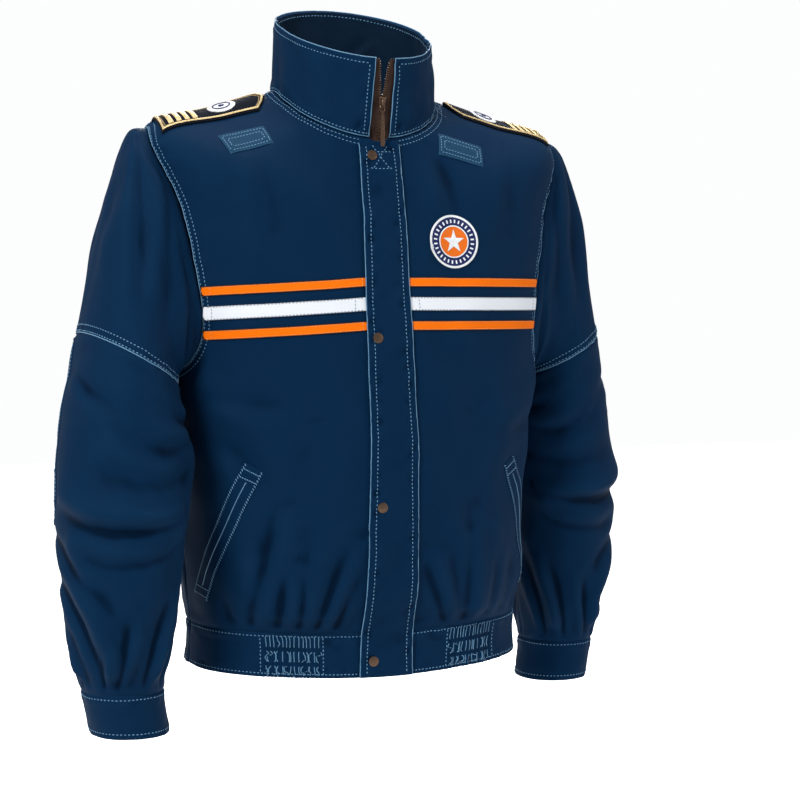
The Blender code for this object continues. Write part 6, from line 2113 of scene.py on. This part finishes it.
def zigzag_along(side, turn, level, lift):
    """Short slanted stitches up a line."""
    here, by_turn, _, normal = slopes(BODY, side * turn, level, lift + 0.0001)
    run = np.concatenate([[0], np.cumsum(np.linalg.norm(np.diff(here, axis=0), axis=1))])
    middles = np.arange(0.002, run[-1] - 0.002, 0.0030)
    spots = np.stack([np.interp(middles, run, here[:, k]) for k in range(3)], axis=1)
    normals = unit(np.stack([np.interp(middles, run, normal[:, k]) for k in range(3)], axis=1))
    along = unit(np.gradient(spots, axis=0))
    across = np.cross(normals, along)
    sewn.setdefault("pockets", []).append((spots, unit(along * 0.7 + across), normals, np.full(len(middles), 0.0036)))


def disc_points(middle, radius, count):
    line = np.linspace(-1, 1, count + 1)
    a, b = np.meshgrid(line, line)
    x = a * np.sqrt(1 - b * b / 2)
    y = b * np.sqrt(1 - a * a / 2)
    return np.stack([middle[0] + radius * x, middle[1] + radius * y], axis=-1)


def ring_points(middle, inner, outer, count, across):
    turns = np.linspace(0, tau, count + 1)
    reach = np.linspace(outer, inner, across + 1)[:, None]
    return np.stack([middle[0] + reach * np.sin(turns), middle[1] + reach * np.cos(turns)], axis=-1)


def emblem(name, shape, surface_at, under, thickness, finish, closed=False, crown=0.0003, inside=body_inside):
    """A raised piece of embroidery from a flat grid of places."""
    turn, level = surface_at(shape)
    rows, columns = turn.shape
    dome = crown * np.sin(np.linspace(0, pi, rows))[:, None] ** 0.5
    if not closed:
        dome = dome * np.sin(np.linspace(0, pi, columns)) ** 0.5
    dome = dome + 0 * turn
    points = body(turn, level)
    normals = facing(points, inside(points), closed)
    points = seated(points, normals, under, 0.008) + (thickness + dome)[..., None] * normals
    nearest = np.minimum(lengths(points, 0), lengths(points[::-1], 0)[::-1])
    made = make_sheet(name, points, normals, thickness, finish, finish, nearest, closed)
    dress(made, None)
    trees[name] = BVHTree.FromObject(made, bpy.context.evaluated_depsgraph_get())
    return made


def chest_badge():
    """A round badge: white rim, navy ring with plain ticks, orange middle and a plain star."""
    ground = emblem("badge_ground", disc_points(BADGE_MIDDLE, BADGE_RADIUS - 0.0006, 26), on_front, FRONTS, 0.0012,
                    finishes["badge_navy"], crown=0.0)
    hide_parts("chest_badge")
    base = ("badge_ground",)
    emblem("badge_rim", ring_points(BADGE_MIDDLE, BADGE_RADIUS - 0.0024, BADGE_RADIUS, 72, 5), on_front,
           FRONTS, 0.0015, finishes["disc"], closed=True)
    emblem("badge_inner_rim", ring_points(BADGE_MIDDLE, 0.0158, 0.0172, 60, 4), on_front, base, 0.0005,
           finishes["disc"], closed=True)
    emblem("badge_middle", disc_points(BADGE_MIDDLE, 0.0158, 20), on_front, base, 0.0003, finishes["badge_orange"],
           crown=0.0)
    for k in range(5):
        turn = tau * k / 5
        tip, left, right = (
            (BADGE_MIDDLE[0] + reach * sin(turn + off), BADGE_MIDDLE[1] + reach * cos(turn + off))
            for reach, off in ((0.0125, 0), (0.0050, -pi / 5), (0.0050, pi / 5))
        )
        shape = quad_grid((BADGE_MIDDLE, left, tip, right), 6, 6)
        emblem("badge_star_{}".format(k + 1), shape, on_front, ("badge_middle",), 0.0005, finishes["disc"],
               crown=0.0004)
    for k in range(28):
        turn = tau * (k + 0.5) / 28
        across = Vector((cos(turn), -sin(turn)))
        out = Vector((sin(turn), cos(turn)))
        middle = Vector(BADGE_MIDDLE) + out * 0.0215
        corners = [tuple(middle + across * 0.0008 * i + out * 0.0018 * j) for i, j in ((-1, -1), (1, -1), (1, 1), (-1, 1))]
        emblem("badge_tick_{}".format(k + 1), quad_grid(corners, 2, 3), on_front, base, 0.0004, finishes["disc"],
               crown=0.0)


def sleeve_badge():
    rounds = np.radians(90 + SLEEVE_BADGE_HALF_TURN * np.linspace(-1, 1, 15))
    stations = np.linspace(*SLEEVE_BADGE_STATIONS, 15)[:, None]
    points = sleeve(1, rounds, stations)
    normals = facing(points, sleeve_inside(1, rounds, stations), False)
    points = seated(points, normals, ("cloth_sleeve_upper_left",)) + 0.0016 * normals
    edges = [Edge(line, "fold", (0.0025,)) for line in (points[0], points[-1], points[:, 0], points[:, -1])]
    cloth(
        "cloth_sleeve_badge", points, sleeve_inside(1, rounds, stations), 0.0012, finishes["badge_navy"],
        "sleeve_badge", edges, seed=99, pucker=0.15,
    )
    for k in (2, 12):
        sew("sleeve_left", ARM[1], rounds[1:-1], stations[k, 0] + 0 * rounds[1:-1], 0.0022, pitch=0.0034)
        sew("sleeve_left", ARM[1], rounds[k] + 0 * stations[1:-1, 0], stations[1:-1, 0], 0.0022, pitch=0.0034)


def board_place(along, across, side):
    """A place on a shoulder board as x and y: along from its outer end, across from its middle."""
    return np.stack([side * (BOARD_OUTER_X - along), BOARD_MIDDLE_Y - across], axis=-1)


def board_outline(inset, count):
    """Places round a board's edge, from the outer end round the pointed neck end and back."""
    half = BOARD_WIDTH / 2 - inset
    shoulder = BOARD_LENGTH - BOARD_POINT - inset * 0.5
    tip = BOARD_LENGTH - inset * 1.3
    corners = np.array([
        (inset, half), (shoulder, half), ((shoulder + tip) / 2 + 0.0012, half * 0.52), (tip, 0),
        ((shoulder + tip) / 2 + 0.0012, -half * 0.52), (shoulder, -half), (inset, -half), (inset, half),
    ])
    run = np.concatenate([[0], np.cumsum(np.linalg.norm(np.diff(corners, axis=0), axis=1))])
    at = np.linspace(0, run[-1], count + 1)
    return np.interp(at, run, corners[:, 0]), np.interp(at, run, corners[:, 1])


def shoulder_boards():
    for side_name, side in (("right", -1), ("left", 1)):

        def on_board(shape, side=side):
            return on_shoulder(board_place(shape[..., 0], shape[..., 1], side), side)

        def above(points):
            return points - [0, 0, 0.1]

        across = np.linspace(-1, 1, 23) * BOARD_WIDTH / 2
        reach = BOARD_LENGTH - BOARD_POINT * np.abs(across) / (BOARD_WIDTH / 2)
        along = edged(BOARD_LENGTH, cell=0.003)[:, None] * reach
        turn, level = on_board(np.stack([along, across + 0 * along], axis=-1))
        points = body(turn, level)
        normals = facing(points, above(points), False)
        points = seated(points, normals, FRONTS + SEATS["body_back"]) + (LAY + BOARD_CLOTH) * normals
        lines = (points[0], points[-1], points[:, 0], points[:, -1])
        cloth(
            "cloth_board_" + side_name, points, above(points), BOARD_CLOTH, finishes["board"],
            "shoulder_board_" + side_name, [Edge(line, "fold", ()) for line in lines],
            seed=101 + side, pucker=0.1,
        )
        top = ("cloth_board_" + side_name,)
        outer, inner = board_outline(BRAID_INSET, 150), board_outline(BRAID_INSET + BRAID_WIDTH, 150)
        share = np.linspace(0, 1, 5)[:, None]
        shape = np.stack([outer[k] + (inner[k] - outer[k]) * share for k in (0, 1)], axis=-1)
        braid = emblem("braid_" + side_name, shape, on_board, top, 0.0010, finishes["gold"], closed=True,
                       crown=0.0006, inside=above)
        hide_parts("board_braid_" + side_name)
        for number in range(BARS):
            start = BAR_START + number * BAR_PITCH
            shape = np.stack(np.meshgrid(
                np.linspace(start, start + BAR_WIDTH, 7), np.linspace(-1, 1, 20) * BAR_REACH
            ), axis=-1)
            bar = emblem("bar_{}_{}".format(side_name, number + 1), shape, on_board, top, 0.0008, finishes["gold"],
                         crown=0.0006, inside=above)
            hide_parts("board_bar_{}_{}".format(side_name, number + 1))
        disc = emblem("disc_" + side_name, disc_points((DISC_ALONG, 0), DISC_RADIUS, 16), on_board, top, 0.0009,
                      finishes["disc"], crown=0.0003, inside=above)
        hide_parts("board_disc_" + side_name)
        emblem("disc_ring_" + side_name, ring_points((DISC_ALONG, 0), 0.0082, 0.0098, 48, 4), on_board,
               ("disc_" + side_name,), 0.0006, finishes["badge_navy"], closed=True, inside=above)
        emblem("disc_dot_" + side_name, disc_points((DISC_ALONG, 0), 0.0032, 8), on_board, ("disc_" + side_name,), 0.0006,
               finishes["badge_navy"], inside=above)
        edge = board_outline(0.0050, 150)
        turn, level = on_board(np.stack(edge, axis=-1))
        sew("boards", BODY, turn, level, LAY + BOARD_CLOTH, pitch=0.0034)


# Stage


def stage():
    deselect()
    bpy.ops.mesh.primitive_plane_add(size=14, location=(0, 0, -0.98))
    floor = bpy.context.object
    floor.name = "floor"
    made, tree, shader = new_material("pale floor")
    place = add(tree, "ShaderNodeTexCoord").outputs["Object"]
    grain = add(tree, "ShaderNodeTexNoise", {"Vector": place, "Scale": 3.0, "Detail": 2.0})
    pale = mixed(tree, grain.outputs[0], (0.80, 0.80, 0.80, 1), (0.84, 0.84, 0.84, 1))
    tree.links.new(pale, shader.inputs["Base Color"])
    shader.inputs["Roughness"].default_value = 0.9
    tree.links.new(pale, shader.inputs["Emission Color"])
    seen_straight = add(tree, "ShaderNodeLightPath").outputs["Is Camera Ray"]
    tree.links.new(math_node(tree, "MULTIPLY", seen_straight, 1.15), shader.inputs["Emission Strength"])
    floor.data.materials.append(made)

    world = bpy.data.worlds.new("pale studio")
    bpy.context.scene.world = world
    world.use_nodes = True
    seen = world.node_tree.nodes["Background"]
    seen.inputs[0].default_value = (0.98, 0.985, 0.99, 1)
    lit = add(world.node_tree, "ShaderNodeBackground", {0: (0.90, 0.94, 1.0, 1), 1: 0.40})
    ray = add(world.node_tree, "ShaderNodeLightPath")
    both = add(world.node_tree, "ShaderNodeMixShader", {0: ray.outputs["Is Camera Ray"], 1: lit.outputs[0], 2: seen.outputs[0]})
    world.node_tree.links.new(both.outputs[0], world.node_tree.nodes["World Output"].inputs[0])
    bpy.context.scene.view_settings.view_transform = "Standard"
    for name, place, size, power in (
        ("key", (-2.2, -1.7, 1.5), 0.9, 84),
        ("fill", (2.4, -1.5, 0.3), 1.6, 20),
        ("top", (0.3, 0.2, 2.2), 1.2, 36),
        ("rear", (0.9, 2.5, 1.0), 1.2, 62),
    ):
        light = bpy.data.lights.new(name, "AREA")
        light.size = size
        light.energy = power
        lamp = bpy.data.objects.new(name, light)
        bpy.context.scene.collection.objects.link(lamp)
        lamp.location = place
        lamp.rotation_euler = (Vector((0, 0, -0.3)) - Vector(place)).to_track_quat("-Z", "Y").to_euler()

    camera = bpy.data.cameras.new("photo view")
    camera.lens = 86.6
    camera.sensor_width = 36
    eye = bpy.data.objects.new("photo view", camera)
    bpy.context.scene.collection.objects.link(eye)
    eye.location = (-0.718, -1.974, -0.227)
    aim = Vector((0.050, -0.018, -0.333)) - eye.location
    eye.rotation_euler = aim.to_track_quat("-Z", "Y").to_euler()
    bpy.context.scene.camera = eye


templates = {"snap": snap_template()}
for side_name, side in SIDES:
    front_panel(side_name, side)
    sleeve_pieces(side_name, side)
back_pieces()
hem_pieces()
collar_piece()
flap_piece()
zip_tapes()
slider()
tapes()
pockets_and_loops()
chest_badge()
sleeve_badge()
shoulder_boards()
make_stitches()
make_edge_threads()
bpy.data.objects.remove(templates["snap"], do_unlink=True)
stage()
